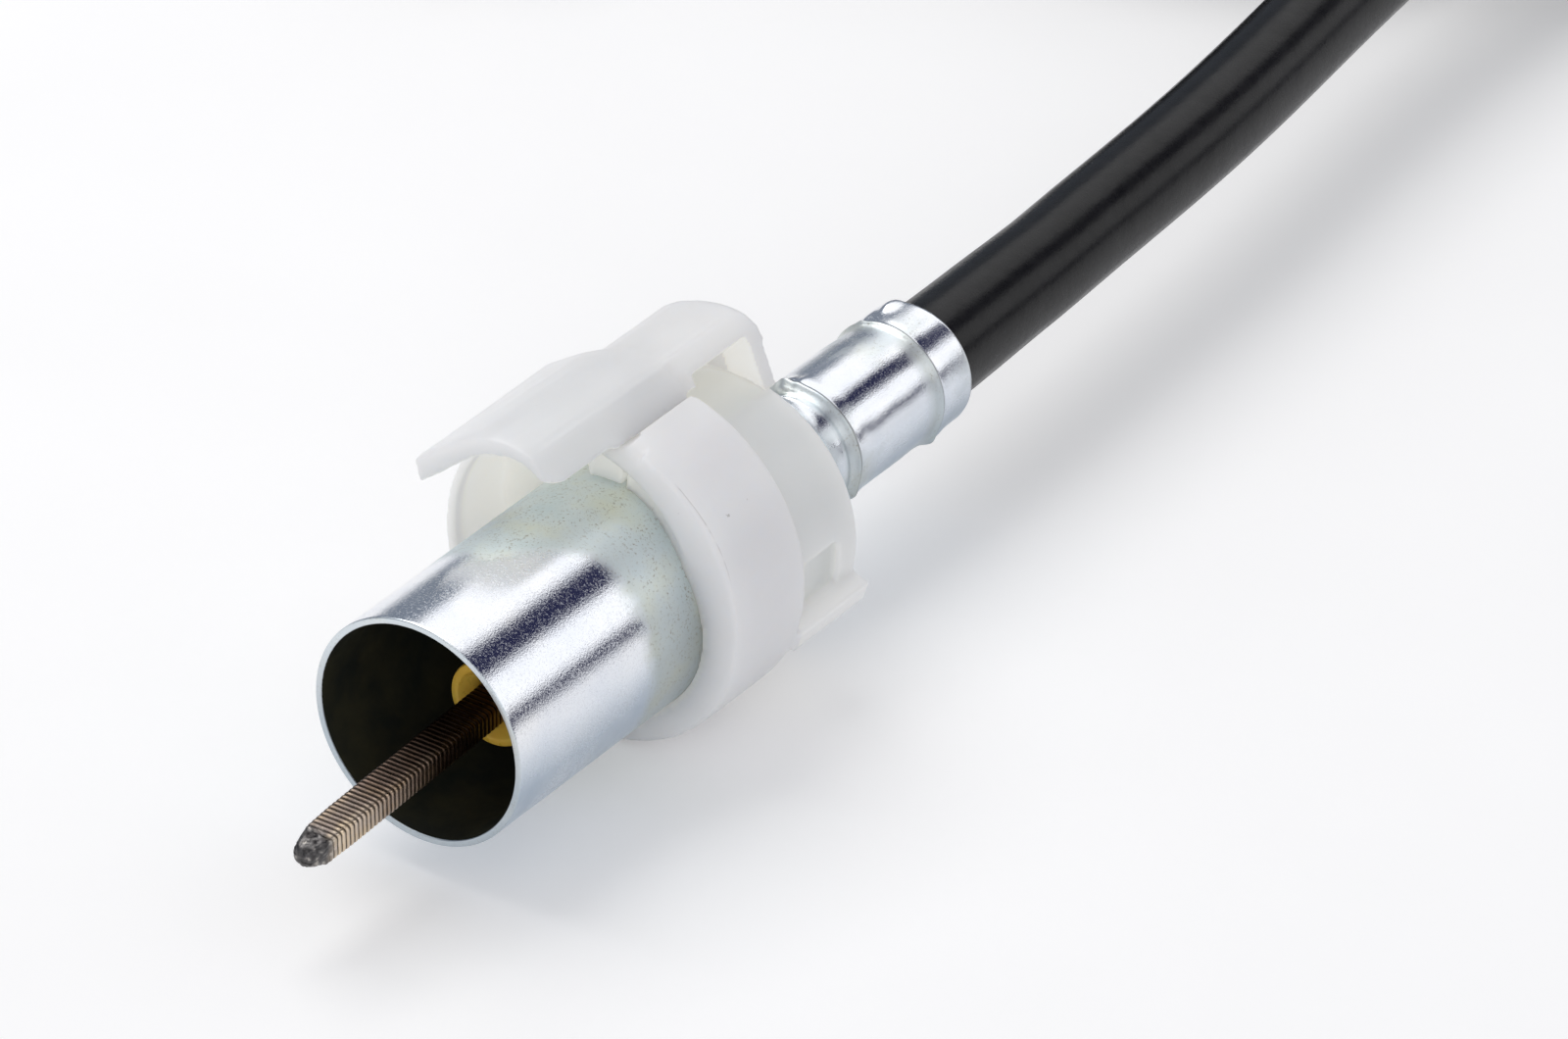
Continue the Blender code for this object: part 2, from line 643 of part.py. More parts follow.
def far_ferrule(material):
    """Crimped tube with a flange that the coupling nut pulls on."""
    back = FAR_FLANGE_LONG + FAR_TUBE_LONG
    outside = [
        (0.0, FAR_FLANGE_R), (FAR_FLANGE_LONG, FAR_FLANGE_R), (FAR_FLANGE_LONG, FAR_TUBE_R),
        (back - 10.6, FAR_TUBE_R), (back - 10.2, FAR_TUBE_R - 0.35), (back - 8.6, FAR_TUBE_R - 0.35),
        (back - 8.2, FAR_TUBE_R), (back - 4.6, FAR_TUBE_R), (back - 4.2, FAR_TUBE_R - 0.35),
        (back - 2.6, FAR_TUBE_R - 0.35), (back - 2.2, FAR_TUBE_R), (back, FAR_TUBE_R),
    ]
    bore = FAR_BUSH_R - 1.2 + GAP
    inside = [
        (back, 0.0), (back - 1.0, 0.0), (back - 1.0, bore), (0.0, bore),
    ]
    return add_object("far_ferrule", spun(outside + inside, 40), material, far_frame())


def far_bush(material):
    """Flanged bush that guides the shaft out of the ferrule."""
    face = -FAR_BUSH_LONG + 2.0
    stem = FAR_BUSH_R - 1.2
    bore = SHAFT_R + 0.35
    ring = [
        (face, bore + 0.6), (face, FAR_BUSH_R - 0.4), (face + 0.4, FAR_BUSH_R), (-GAP, FAR_BUSH_R),
        (-GAP, stem), (FAR_BUSH_STEM, stem), (FAR_BUSH_STEM, bore), (face + 0.6, bore),
    ]
    return add_object("far_bush", spun(ring, 40), material, far_frame())


def far_conduit(material):
    """The wound conduit's other end, behind the bush in the ferrule."""
    front = FAR_BUSH_STEM + GAP
    back = FAR_FLANGE_LONG + FAR_TUBE_LONG - 1.0 - GAP
    ring = [(front, CONDUIT_BORE_R), (front, CONDUIT_R), (back, CONDUIT_R), (back, CONDUIT_BORE_R)]
    return add_object("far_conduit", spun(ring, 32), material, far_frame())


def thrust_washer(material):
    """Loose washer on the shaft in front of the bush."""
    back = -FAR_BUSH_LONG + 2.0 - GAP
    front = back - THRUST_THICK
    bore = SHAFT_R + 0.4
    ring = [(front, bore), (front, THRUST_R), (back, THRUST_R), (back, bore)]
    return add_object("thrust_washer", spun(ring, 32), material, far_frame())


def far_shaft(material):
    """The shaft's other squared end, turned by the gearbox."""
    rings = shaft_rings(-FAR_SHAFT_OUT, 3.0, FAR_TUBE_LONG - 3.0)
    return add_object("far_drive_shaft", lofted(rings), material, far_frame())


def sealing_washer(material):
    """Rubber washer in the nut, against the ferrule's flange."""
    front = -GAP - WASHER_THICK
    outer = NUT_R - NUT_WALL - GAP
    ring = [(front, FAR_BUSH_R + GAP), (front, outer), (-GAP, outer), (-GAP, FAR_BUSH_R + GAP)]
    return add_object("sealing_washer", spun(ring, 40), material, far_frame())


def coupling_nut(material):
    """Fluted nut that turns on the ferrule behind its flange."""
    back = FAR_FLANGE_LONG + GAP + NUT_BACK_WALL
    front = back - NUT_LONG
    outside = [
        (front, NUT_R - 0.8), (front + 0.8, NUT_R), (back - 0.8, NUT_R), (back, NUT_R - 0.8),
    ]
    bore = NUT_R - NUT_WALL
    inside = [
        (back, FAR_TUBE_R + GAP), (FAR_FLANGE_LONG + GAP, FAR_TUBE_R + GAP),
        (FAR_FLANGE_LONG + GAP, bore), (front, bore),
    ]
    nut = spun(outside + inside, 4 * NUT_FLUTES)
    for vert in nut.verts:
        radius = math.hypot(vert.co.x, vert.co.z)
        turn = math.degrees(math.atan2(vert.co.z, vert.co.x)) * NUT_FLUTES / 360
        if radius > NUT_R - 0.1 and abs(turn - round(turn)) > 0.4:
            vert.co.x *= 1 - NUT_FLUTE_DEEP / radius
            vert.co.z *= 1 - NUT_FLUTE_DEEP / radius
    return add_object("coupling_nut", nut, material, far_frame())


def build():
    clear_scene()
    zinc = finish("zinc_steel", (0.72, 0.75, 0.78), 1.0, 0.28)
    nylon = finish("white_nylon", (0.84, 0.83, 0.82), 0.0, 0.4)
    lever_nylon = finish("white_nylon_lever", (0.84, 0.83, 0.82), 0.0, 0.38)
    black = finish("black_vinyl", (0.014, 0.014, 0.016), 0.0, 0.42)
    black_end = finish("black_vinyl_end", (0.014, 0.014, 0.016), 0.0, 0.45)
    black_coil = finish("black_vinyl_coil", (0.014, 0.014, 0.016), 0.0, 0.42)
    black_tail = finish("black_vinyl_tail", (0.014, 0.014, 0.016), 0.0, 0.42)
    brass = finish("yellow_brass", (0.78, 0.53, 0.12), 1.0, 0.35)
    far_brass = finish("far_brass", (0.78, 0.53, 0.12), 1.0, 0.35)
    wire = finish("wound_wire", (0.2, 0.17, 0.15), 1.0, 0.42)
    far_wire = finish("far_wound_wire", (0.2, 0.17, 0.15), 1.0, 0.42)
    winding = finish("conduit_steel", (0.3, 0.3, 0.3), 1.0, 0.5)
    far_zinc = finish("far_zinc_steel", (0.72, 0.75, 0.78), 1.0, 0.3)
    nut_zinc = finish("nut_zinc_steel", (0.7, 0.72, 0.74), 1.0, 0.35)
    far_winding = finish("far_conduit_steel", (0.3, 0.3, 0.3), 1.0, 0.5)
    washer_nylon = finish("washer_nylon", (0.8, 0.79, 0.76), 0.0, 0.45)
    rubber = finish("black_rubber", (0.02, 0.02, 0.02), 0.0, 0.7)

    connector_sleeve(zinc)
    casing_end(black_end)
    conduit(winding)
    casing_bush(brass)
    drive_shaft(wire)
    clip_body(nylon)
    release_lever(lever_nylon)

    tube("casing_run", run_points(), 2, black, run_swell)
    turns = coil_points()
    tube("casing_coil", turns, 1, black_coil)
    tube("casing_tail", tail_points(), 2, black_tail)
    print(f"coil: least gap to itself {least_self_gap(turns):.2f} mm")

    far_ferrule(far_zinc)
    far_bush(far_brass)
    far_shaft(far_wire)
    sealing_washer(rubber)
    coupling_nut(nut_zinc)
    far_conduit(far_winding)
    thrust_washer(washer_nylon)


build()
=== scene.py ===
"""Upper section of a speedometer drive cable, lying on a pale bench.

The sections follow the cable as it is put together: casing, steel sleeve, conduit and bush, wound
shaft, moulded clip, lever, and the fitting at the gearbox end. Sizes are millimetres, and most are
counted from the centre of the sleeve's mouth: across it, along it towards the casing, and up.
"""

import math

import bmesh
import bpy
from mathutils import Matrix, Vector, noise
from mathutils.geometry import interpolate_bezier


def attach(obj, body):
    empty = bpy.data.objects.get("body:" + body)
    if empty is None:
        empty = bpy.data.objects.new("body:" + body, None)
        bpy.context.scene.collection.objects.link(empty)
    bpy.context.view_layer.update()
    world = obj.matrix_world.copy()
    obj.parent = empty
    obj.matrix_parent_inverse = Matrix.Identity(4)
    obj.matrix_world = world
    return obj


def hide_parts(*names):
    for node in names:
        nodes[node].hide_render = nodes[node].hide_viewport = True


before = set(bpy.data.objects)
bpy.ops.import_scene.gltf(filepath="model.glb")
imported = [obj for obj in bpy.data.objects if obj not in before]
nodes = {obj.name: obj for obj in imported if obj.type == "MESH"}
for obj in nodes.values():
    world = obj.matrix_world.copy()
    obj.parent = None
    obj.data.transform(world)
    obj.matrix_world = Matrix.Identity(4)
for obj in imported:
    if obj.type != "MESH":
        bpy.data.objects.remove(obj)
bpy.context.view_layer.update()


# ---- Camera -------------------------------------------------------------------------------------
# A long lens from the front right, a little over 30 degrees above the bench, with the mouth of the
# sleeve low on the left and the casing leaving at the top right.

MM = 0.001
MOUTH = Vector((0.75, -24.35, 12.0))
CAMERA_FROM_MOUTH = Vector((432.45, -561.46, 463.57))
LOOKING = Vector((-0.49121, 0.68938, -0.53241))

camera = bpy.data.objects.new("camera", bpy.data.cameras.new("camera"))
camera.data.lens = 270
camera.data.sensor_width = 36
camera.data.clip_start = 0.05
camera.data.clip_end = 20
camera.location = (MOUTH + CAMERA_FROM_MOUTH) * MM
camera.rotation_euler = LOOKING.to_track_quat("-Z", "Y").to_euler()
bpy.context.scene.collection.objects.link(camera)
bpy.context.scene.camera = camera
bpy.context.scene.view_settings.view_transform = "Standard"


# ---- Casing -------------------------------------------------------------------------------------
# Black vinyl extruded over the wound conduit, 8 mm thick and stiff. It leaves the crimped tube a
# little swollen, runs along the bench and is wound into a flat coil that ends at the far fitting.

CASING_R = 4.0
TUBE_END = 62.8
CASING_SWELL = 0.06
SWELL_LONG = 18.0
ROUTE = (
    (0.0, 0.3, 0.0), (-0.1, 5.2, 0.0), (-0.3, 11.2, 0.0), (-0.45, 17.2, 0.0), (-0.8, 23.2, 0.0),
    (-1.15, 30.2, 0.0), (-1.55, 37.2, 0.0), (-2.15, 44.7, 0.0), (-2.95, 52.2, 0.0),
    (-3.8, 59.7, 0.1), (-4.6, 67.2, 0.2), (-5.2, 74.7, 0.35), (-5.35, 81.7, 0.5),
    (-4.85, 88.7, 0.6), (-3.54, 94.8, 0.6),
)
COIL_TURNS = 62 / 24
COIL_IN_TURNS = 1.45
COIL_PITCH = 8.6
COIL_OUTER = 40.0 + COIL_PITCH * COIL_TURNS / 4
COIL_START = -20.0
LOOP_POINTS = 48
ROUTE_POINTS = 12
JOIN = 0.3
TAIL_LONG = 24.0
NUT_R = 9.0


def smooth_line(points):
    """A dense smooth line through points."""
    line = []
    for i in range(len(points) - 1):
        before, start, end, after = (
            points[max(i - 1, 0)], points[i], points[i + 1], points[min(i + 2, len(points) - 1)]
        )
        long = (end - start).length
        leave = (end - before).normalized() * long / 3
        arrive = (after - start).normalized() * long / 3
        line += interpolate_bezier(start, start + leave, end - arrive, end, ROUTE_POINTS)[:-1]
    return line + [points[-1]]


def spaced(line, step):
    """Points at even steps along a dense line, with both of its ends."""
    lengths = [0.0]
    for a, b in zip(line, line[1:]):
        lengths.append(lengths[-1] + (b - a).length)
    count = max(2, round(lengths[-1] / step))
    found = []
    place = 0
    for i in range(count + 1):
        target = lengths[-1] * i / count
        while place < len(line) - 2 and lengths[place + 1] < target:
            place += 1
        share = (target - lengths[place]) / max(lengths[place + 1] - lengths[place], 1e-9)
        found.append(line[place].lerp(line[place + 1], share))
    return found


def round_coil(angle):
    """The way that the coil runs at an angle."""
    return Vector((-math.sin(angle), math.cos(angle), 0))


def coil_line(start):
    """The turns spiral in on the upper layer, drop to the bench and spiral out again."""
    inner = COIL_OUTER - COIL_PITCH * COIL_IN_TURNS
    angle = math.radians(COIL_START)
    ahead = round_coil(angle) * 2 * CASING_R
    centre = start + ahead - Vector((math.cos(angle), math.sin(angle), 0)) * COIL_OUTER
    points = [start]
    for i in range(round(COIL_TURNS * LOOP_POINTS) + 1):
        turn = i / LOOP_POINTS
        radius = COIL_OUTER - COIL_PITCH * turn
        if turn > COIL_IN_TURNS:
            radius = inner + COIL_PITCH * (turn - COIL_IN_TURNS)
        share = min(max((turn - COIL_IN_TURNS + 0.25) / 0.5, 0.0), 1.0)
        fall = COIL_PITCH * (1 - math.cos(math.pi * share)) / 2
        angle = math.tau * turn + math.radians(COIL_START)
        points.append(centre + Vector((radius * math.cos(angle), radius * math.sin(angle), -fall)))
    return points + [points[-1] + round_coil(angle) * 2 * CASING_R]


def tail_line(start, ahead):
    """From the coil on the bench up to the fitting, which lies on its nut."""
    end = start + Vector((ahead.x * TAIL_LONG / 2, -TAIL_LONG, NUT_R - start.z))
    reach = TAIL_LONG * 0.4
    return interpolate_bezier(start, start + ahead * reach, end + Vector((0, reach, 0)), end, 40)


tube_mouth = MOUTH + Vector((0, TUBE_END, 0))
run = spaced(smooth_line([tube_mouth + Vector(point) for point in ROUTE]), 3.0)
coil = coil_line(run[-1] + round_coil(math.radians(COIL_START)) * JOIN)
leaving = (coil[-1] - coil[-2]).normalized()
tail = spaced(tail_line(coil[-1] + leaving * JOIN, leaving), 2.0)
casing_line = run + coil[1:] + tail[1:]

casing_curve = bpy.data.curves.new("vinyl_casing", "CURVE")
casing_curve.dimensions = "3D"
casing_curve.bevel_depth = CASING_R * MM
casing_curve.bevel_resolution = 8
casing_curve.use_fill_caps = True
spline = casing_curve.splines.new("POLY")
spline.points.add(len(casing_line) - 1)
for i, place in enumerate(casing_line):
    from_tube = place.y - tube_mouth.y if i < len(run) else SWELL_LONG
    spline.points[i].co = (*(place * MM), 1.0)
    spline.points[i].radius = 1.0 + CASING_SWELL * max(0.0, 1 - from_tube / SWELL_LONG)
spline.use_smooth = True
casing = bpy.data.objects.new("vinyl_casing", casing_curve)
bpy.context.scene.collection.objects.link(casing)


def new_finish(name, colour, roughness, metallic=0.0):
    """A node material, with its tree and its shader."""
    material = bpy.data.materials.new(name)
    material.use_nodes = True
    shader = material.node_tree.nodes["Principled BSDF"]
    shader.inputs["Base Color"].default_value = (*colour, 1.0)
    shader.inputs["Roughness"].default_value = roughness
    shader.inputs["Metallic"].default_value = metallic
    material.diffuse_color = (*colour, 1.0)
    return material, material.node_tree, shader


def grain(tree, scale, detail, stretch=(1.0, 1.0, 1.0), rough=0.55):
    """Noise in the piece's own space, with features about 1/scale metres across."""
    place = tree.nodes.new("ShaderNodeTexCoord")
    sized = tree.nodes.new("ShaderNodeMapping")
    sized.inputs["Scale"].default_value = stretch
    field = tree.nodes.new("ShaderNodeTexNoise")
    field.inputs["Scale"].default_value = scale
    field.inputs["Detail"].default_value = detail
    field.inputs["Roughness"].default_value = rough
    tree.links.new(place.outputs["Object"], sized.inputs["Vector"])
    tree.links.new(sized.outputs["Vector"], field.inputs["Vector"])
    return field.outputs["Fac"]


def ramp(tree, value, *stops):
    """A colour ramp: each stop is a place and a grey or a colour."""
    node = tree.nodes.new("ShaderNodeValToRGB")
    for i, (at, tone) in enumerate(stops):
        element = node.color_ramp.elements[i] if i < 2 else node.color_ramp.elements.new(at)
        element.position = at
        element.color = (*tone, 1.0) if isinstance(tone, tuple) else (tone, tone, tone, 1.0)
    tree.links.new(value, node.inputs["Fac"])
    return node.outputs["Color"]


def maths(tree, operation, a, b=None, c=None):
    """A maths node on values or sockets."""
    node = tree.nodes.new("ShaderNodeMath")
    node.operation = operation
    for socket, value in zip(node.inputs, (a, b, c)):
        if isinstance(value, bpy.types.NodeSocket):
            tree.links.new(value, socket)
        elif value is not None:
            socket.default_value = value
    return node.outputs[0]


def ramp_mm(tree, distance, *stops):
    """A colour ramp along a distance, with its stops in millimetres and in rising order."""
    low, high = stops[0][0], stops[-1][0]
    share = maths(tree, "MULTIPLY_ADD", distance, 1 / ((high - low) * MM), -low / (high - low))
    return ramp(tree, share, *[((at - low) / (high - low), tone) for at, tone in stops])


def mixed(tree, share, a, b, way="MIX"):
    """Two colours mixed by a share."""
    node = tree.nodes.new("ShaderNodeMix")
    node.data_type = "RGBA"
    node.blend_type = way
    for socket, value in ((node.inputs[0], share), (node.inputs[6], a), (node.inputs[7], b)):
        if isinstance(value, bpy.types.NodeSocket):
            tree.links.new(value, socket)
        else:
            socket.default_value = (*value, 1.0) if isinstance(value, tuple) else value
    return node.outputs[2]


def product(tree, *colours):
    """Colours multiplied with each other."""
    whole = colours[0]
    for colour in colours[1:]:
        whole = mixed(tree, 1.0, whole, colour, "MULTIPLY")
    return whole


def lighter(tree, a, b):
    """The lighter of two colours."""
    return mixed(tree, 1.0, a, b, "LIGHTEN")


def split_place(tree, space="Object"):
    """How far across, along and up a point lies, in metres."""
    place = tree.nodes.new("ShaderNodeTexCoord")
    axes = tree.nodes.new("ShaderNodeSeparateXYZ")
    tree.links.new(place.outputs[space], axes.inputs["Vector"])
    return axes.outputs["X"], axes.outputs["Y"], axes.outputs["Z"]


def on_points(tree, name):
    """A value that the mesh keeps on its points."""
    node = tree.nodes.new("ShaderNodeAttribute")
    node.attribute_name = name
    return node.outputs["Fac"]


def drive(tree, shader, socket, value, *stops):
    """Sets an input of the shader by a ramp of a value."""
    tree.links.new(ramp(tree, value, *stops), shader.inputs[socket])


def raise_grain(tree, shader, height, distance, strength):
    """Bumps the shader with a height, given the height's size in metres."""
    node = tree.nodes.new("ShaderNodeBump")
    node.inputs["Distance"].default_value = distance
    node.inputs["Strength"].default_value = strength
    tree.links.new(height, node.inputs["Height"])
    earlier = shader.inputs["Normal"]
    if earlier.is_linked:
        tree.links.new(earlier.links[0].from_socket, node.inputs["Normal"])
    tree.links.new(node.outputs["Normal"], shader.inputs["Normal"])


vinyl, tree, shader = new_finish("black_vinyl", (0.011, 0.011, 0.013), 0.4)
drive(tree, shader, "Base Color", grain(tree, 260, 4),
      (0.3, (0.0035, 0.0035, 0.004)), (0.72, (0.008, 0.0078, 0.009)))
drive(tree, shader, "Roughness", grain(tree, 900, 5), (0.3, 0.24), (0.75, 0.32))
raise_grain(tree, shader, grain(tree, 5200, 2), 0.000012, 0.5)
raise_grain(tree, shader, grain(tree, 420, 3), 0.00012, 0.35)
shader.inputs["Specular IOR Level"].default_value = 0.24
casing_curve.materials.append(vinyl)

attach(casing, "connector")
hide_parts("casing_run", "casing_coil", "casing_tail")
nodes["casing_end"].data.materials.clear()
nodes["casing_end"].data.materials.append(vinyl)


# ---- Steel sleeve -------------------------------------------------------------------------------
# One drawn shell of thin steel, bright zinc plated: a plain cylinder with a rolled mouth, a
# shoulder, and a neck whose tube is crimped on the casing in two rings, with small folds by them.

SLEEVE_R = 9.25
SLEEVE_WALL = 0.55
SLEEVE_BORE = SLEEVE_R - SLEEVE_WALL
RIM_ROUND = 0.13
CYLINDER = 37.0
SHOULDER = 9.6
NECK_R = 4.75
TUBE_R = 5.05
TUBE_BORE = TUBE_R - SLEEVE_WALL
TUBE_START = CYLINDER + SHOULDER
TUBE_STEP = 0.08
CRIMPS = (1.5, 12.3)
# Rings round the tube: how far into it, how high, how wide.
RINGS = ((CRIMPS[0], 0.17, 0.17), (0.9, -0.1, 0.35), (2.4, 0.05, 0.6), (CRIMPS[1], 0.16, 0.16))
# Folds of its metal: angle, how far into the tube, how high, degrees wide, how long.
FOLDS = (
    (-42.0, 12.3, 0.3, 9.0, 1.3), (110.0, 15.0, 0.42, 7.0, 1.2), (110.0, 1.5, 0.38, 8.0, 0.9),
    (118.0, 13.6, 0.22, 5.0, 1.6), (98.0, 1.9, 0.16, 6.0, 1.2), (-30.0, 1.6, 0.2, 7.0, 0.8),
)
RIPPLE = 0.02
SLEEVE_SIDES = 160
BARB_SLOT_SIDE = 2.0
BARB_SLOT_WIDE = 2.3
BARB_SLOT_FRONT = 24.6
BARB_SLOT_BACK = 27.9
LEVER_ANGLE = 106.0


def spun(profile, sides):
    """Turns a closed row of (along, radius) points about the Y axis."""
    bm = bmesh.new()
    rings = []
    for along, radius in profile:
        ring = []
        for i in range(sides):
            turn = math.tau * i / sides
            ring.append(bm.verts.new((radius * math.cos(turn), along, radius * math.sin(turn))))
        rings.append(ring)
    for near, far in zip(rings, rings[1:] + rings[:1]):
        for i in range(sides):
            bm.faces.new((near[i - 1], near[i], far[i], far[i - 1]))
    return bm


def piece_from(name, bm, place, sharp=None):
    """The bmesh, in millimetres, as a smooth object of metres at a place given in metres."""
    bmesh.ops.remove_doubles(bm, verts=bm.verts, dist=1e-5)
    bmesh.ops.recalc_face_normals(bm, faces=bm.faces)
    bmesh.ops.scale(bm, vec=(MM, MM, MM), verts=bm.verts)
    mesh = bpy.data.meshes.new(name)
    bm.to_mesh(mesh)
    bm.free()
    mesh.shade_smooth()
    if sharp:
        mesh.set_sharp_from_angle(angle=math.radians(sharp))
    piece = bpy.data.objects.new(name, mesh)
    bpy.context.scene.collection.objects.link(piece)
    piece.matrix_world = place
    return piece


def cut_out(piece, bm, place):
    """Cuts a block out of a piece for good."""
    cutter = piece_from("cutter", bm, place)
    modifier = piece.modifiers.new("cut", "BOOLEAN")
    modifier.solver = "EXACT"
    modifier.object = cutter
    settle(piece)
    bpy.data.objects.remove(cutter)


def settle(piece):
    """Turns a piece's modifiers into its mesh."""
    bpy.context.view_layer.update()
    settled = piece.evaluated_get(bpy.context.evaluated_depsgraph_get())
    mesh = bpy.data.meshes.new_from_object(settled)
    piece.modifiers.clear()
    piece.data = mesh


def block(low, high):
    """A box between two corners."""
    bm = bmesh.new()
    bmesh.ops.create_cube(bm, size=1.0)
    size = Vector(high) - Vector(low)
    bmesh.ops.scale(bm, vec=size, verts=bm.verts)
    bmesh.ops.translate(bm, vec=Vector(low) + size / 2, verts=bm.verts)
    return bm


def on_axis(turn=0.0):
    """The sleeve's frame, turned about its axis from across towards up."""
    return Matrix.Translation(MOUTH * MM) @ Matrix.Rotation(-math.radians(turn), 4, "Y")


def push_out(vert, high):
    """Moves a point away from the Y axis."""
    share = 1 + high / math.hypot(vert.co.x, vert.co.z)
    vert.co.x *= share
    vert.co.z *= share


def bell(off, wide):
    """A smooth bump that is 1 in its middle."""
    return math.exp(-((off / wide) ** 2))


def ease(value, low, high):
    """Goes softly from 0 at low to 1 at high."""
    share = min(max((value - low) / (high - low), 0.0), 1.0)
    return share * share * (3 - 2 * share)


def tube_radius(into):
    """The crimped tube's outside, by how far into the tube."""
    radius = NECK_R + 0.03 + (TUBE_R - NECK_R) * ease(into, 0.7, 1.7)
    radius += sum(high * bell(into - at, wide) for at, high, wide in RINGS)
    radius -= 0.11 * ease(into, 8.6, 11.6) * (1 - ease(into, 11.7, 12.3))
    return radius + 0.07 * ease(into, 12.4, 13.4)


def shoulder_drop(share):
    """How much narrower the shoulder is than the cylinder, by how far down it."""
    return (SLEEVE_R - NECK_R) * (1 - math.cos(math.pi * share)) / 2


corner = [math.pi / 2 * i / 5 for i in range(6)]
profile = [
    (RIM_ROUND * (1 - math.sin(t)), SLEEVE_BORE + RIM_ROUND * (1 - math.cos(t))) for t in corner
]
profile += [
    (RIM_ROUND * (1 - math.cos(t)), SLEEVE_R - RIM_ROUND * (1 - math.sin(t))) for t in corner
]
profile += [(along, SLEEVE_R) for along in (0.4, 1.0, 3.0, 8.0, 16.0, 24.0, 31.0, 36.0, CYLINDER)]
for i in range(1, 25):
    share = i / 24
    profile.append((CYLINDER + SHOULDER * share ** 0.85, SLEEVE_R - shoulder_drop(share)))
into = TUBE_STEP
while into < TUBE_END - TUBE_START - 0.3:
    profile.append((TUBE_START + into, tube_radius(into)))
    into += TUBE_STEP
profile += [
    (TUBE_END - 0.12, TUBE_R + 0.05), (TUBE_END, TUBE_R - 0.08), (TUBE_END, TUBE_BORE + 0.1),
    (TUBE_END - 0.4, TUBE_BORE), (TUBE_START + 0.8, TUBE_BORE),
]
for share in (1.0, 0.9, 0.8, 0.7, 0.6, 0.5, 0.4, 0.3, 0.2, 0.1):
    back = CYLINDER - SLEEVE_WALL / 2 + SHOULDER * share ** 0.85
    profile.append((back, SLEEVE_BORE - shoulder_drop(share)))
profile += [(along, SLEEVE_BORE) for along in (36.0, 30.0, 20.0, 10.0, 3.0, 1.0, 0.4)]
bm = spun(profile, SLEEVE_SIDES)
for vert in bm.verts:
    radius = math.hypot(vert.co.x, vert.co.z)
    if vert.co.y < TUBE_START or radius < TUBE_R - SLEEVE_WALL / 2:
        continue
    turn = math.degrees(math.atan2(vert.co.z, vert.co.x))
    into = vert.co.y - TUBE_START
    rise = 0.0
    for angle, along, high, wide, long in FOLDS:
        off = (turn - angle + 180) % 360 - 180
        rise = max(rise, high * bell(off, wide) * bell(into - along, long))
    rise += RIPPLE * noise.noise(Vector((turn / 22, into / 2.2, 3.1))) * ease(into, 0.4, 1.6)
    push_out(vert, rise)
sleeve = piece_from("steel_sleeve", bm, on_axis(), sharp=50)
slot = block(
    (BARB_SLOT_SIDE - BARB_SLOT_WIDE / 2, BARB_SLOT_FRONT, 4.0),
    (BARB_SLOT_SIDE + BARB_SLOT_WIDE / 2, BARB_SLOT_BACK, 12.0),
)
cut_out(sleeve, slot, on_axis(LEVER_ANGLE - 90))

zinc, tree, shader = new_finish("bright_zinc", (0.86, 0.875, 0.9), 0.14, 1.0)
across, along, up = split_place(tree)

# Where the plating is satin: a passivated band whose wandering edge comes further forward on the
# left, the rim, the rings at the crimps, and patches on the tube.
edge_back = maths(tree, "MULTIPLY_ADD", across, -1.15, 4.5 * MM)
edge_back = maths(tree, "MAXIMUM", maths(tree, "MINIMUM", edge_back, 5.8 * MM), 0.0)
wander = maths(tree, "MULTIPLY_ADD", grain(tree, 420, 3), 2.2 * MM, -1.1 * MM)
past = maths(tree, "ADD", maths(tree, "ADD", along, edge_back), wander)
satin = ramp_mm(tree, past, (14.833, 0.0), (16.9, 1.0))
satin = product(tree, satin, ramp_mm(tree, along, (39.0, 1.0), (41.5, 0.0)))
rim = ramp_mm(tree, along, (0.03, 0.45), (0.14, 0.0))
satin = lighter(tree, satin, rim)
creases = []
for crimp in CRIMPS:
    beside = maths(tree, "SUBTRACT", along, (TUBE_START + crimp) * MM)
    ring = ramp_mm(tree, beside, (-2.0, 0.0), (-0.625, 0.7), (0.075, 0.7), (0.25, 0.0))
    satin = lighter(tree, satin, ring)
    creases.append(maths(tree, "ABSOLUTE", maths(tree, "SUBTRACT", beside, 0.12 * MM)))
# Painted shadow: a thin dark line just behind each crimp ring.
crease_shadow = ramp_mm(tree, maths(tree, "MINIMUM", *creases), (0.0417, 0.8), (0.1667, 0.0))
tube = ramp_mm(tree, along, (40.8, 0.0), (44.8, 1.0))
patches = ramp(tree, grain(tree, 230, 3, (1.0, 0.5, 1.0)), (0.5, 0.0), (0.64, 0.55))
satin = lighter(tree, satin, product(tree, patches, tube))

# Bluish zinc; a greenish passive coat with painted shade that darkens it towards the bottom; painted
# shade that turns the lower side a dull darker blue; pits; and painted shadow lines at the crimp
# creases.
cloud = grain(tree, 210, 4)
bright = ramp(tree, cloud, (0.3, (0.78, 0.81, 0.87)), (0.7, (0.88, 0.89, 0.91)))
passive_and_painted_shade = ramp(
    tree, cloud,
    (0.28, (0.68, 0.775, 0.8)), (0.5, (0.735, 0.805, 0.81)), (0.72, (0.775, 0.81, 0.72)),
)
# Painted shade: the passive coat is darkened towards the bottom of the sleeve.
passive_and_painted_shade = product(tree, passive_and_painted_shade, ramp_mm(tree, up, (0.5, 0.68), (5.5, 1.0)))
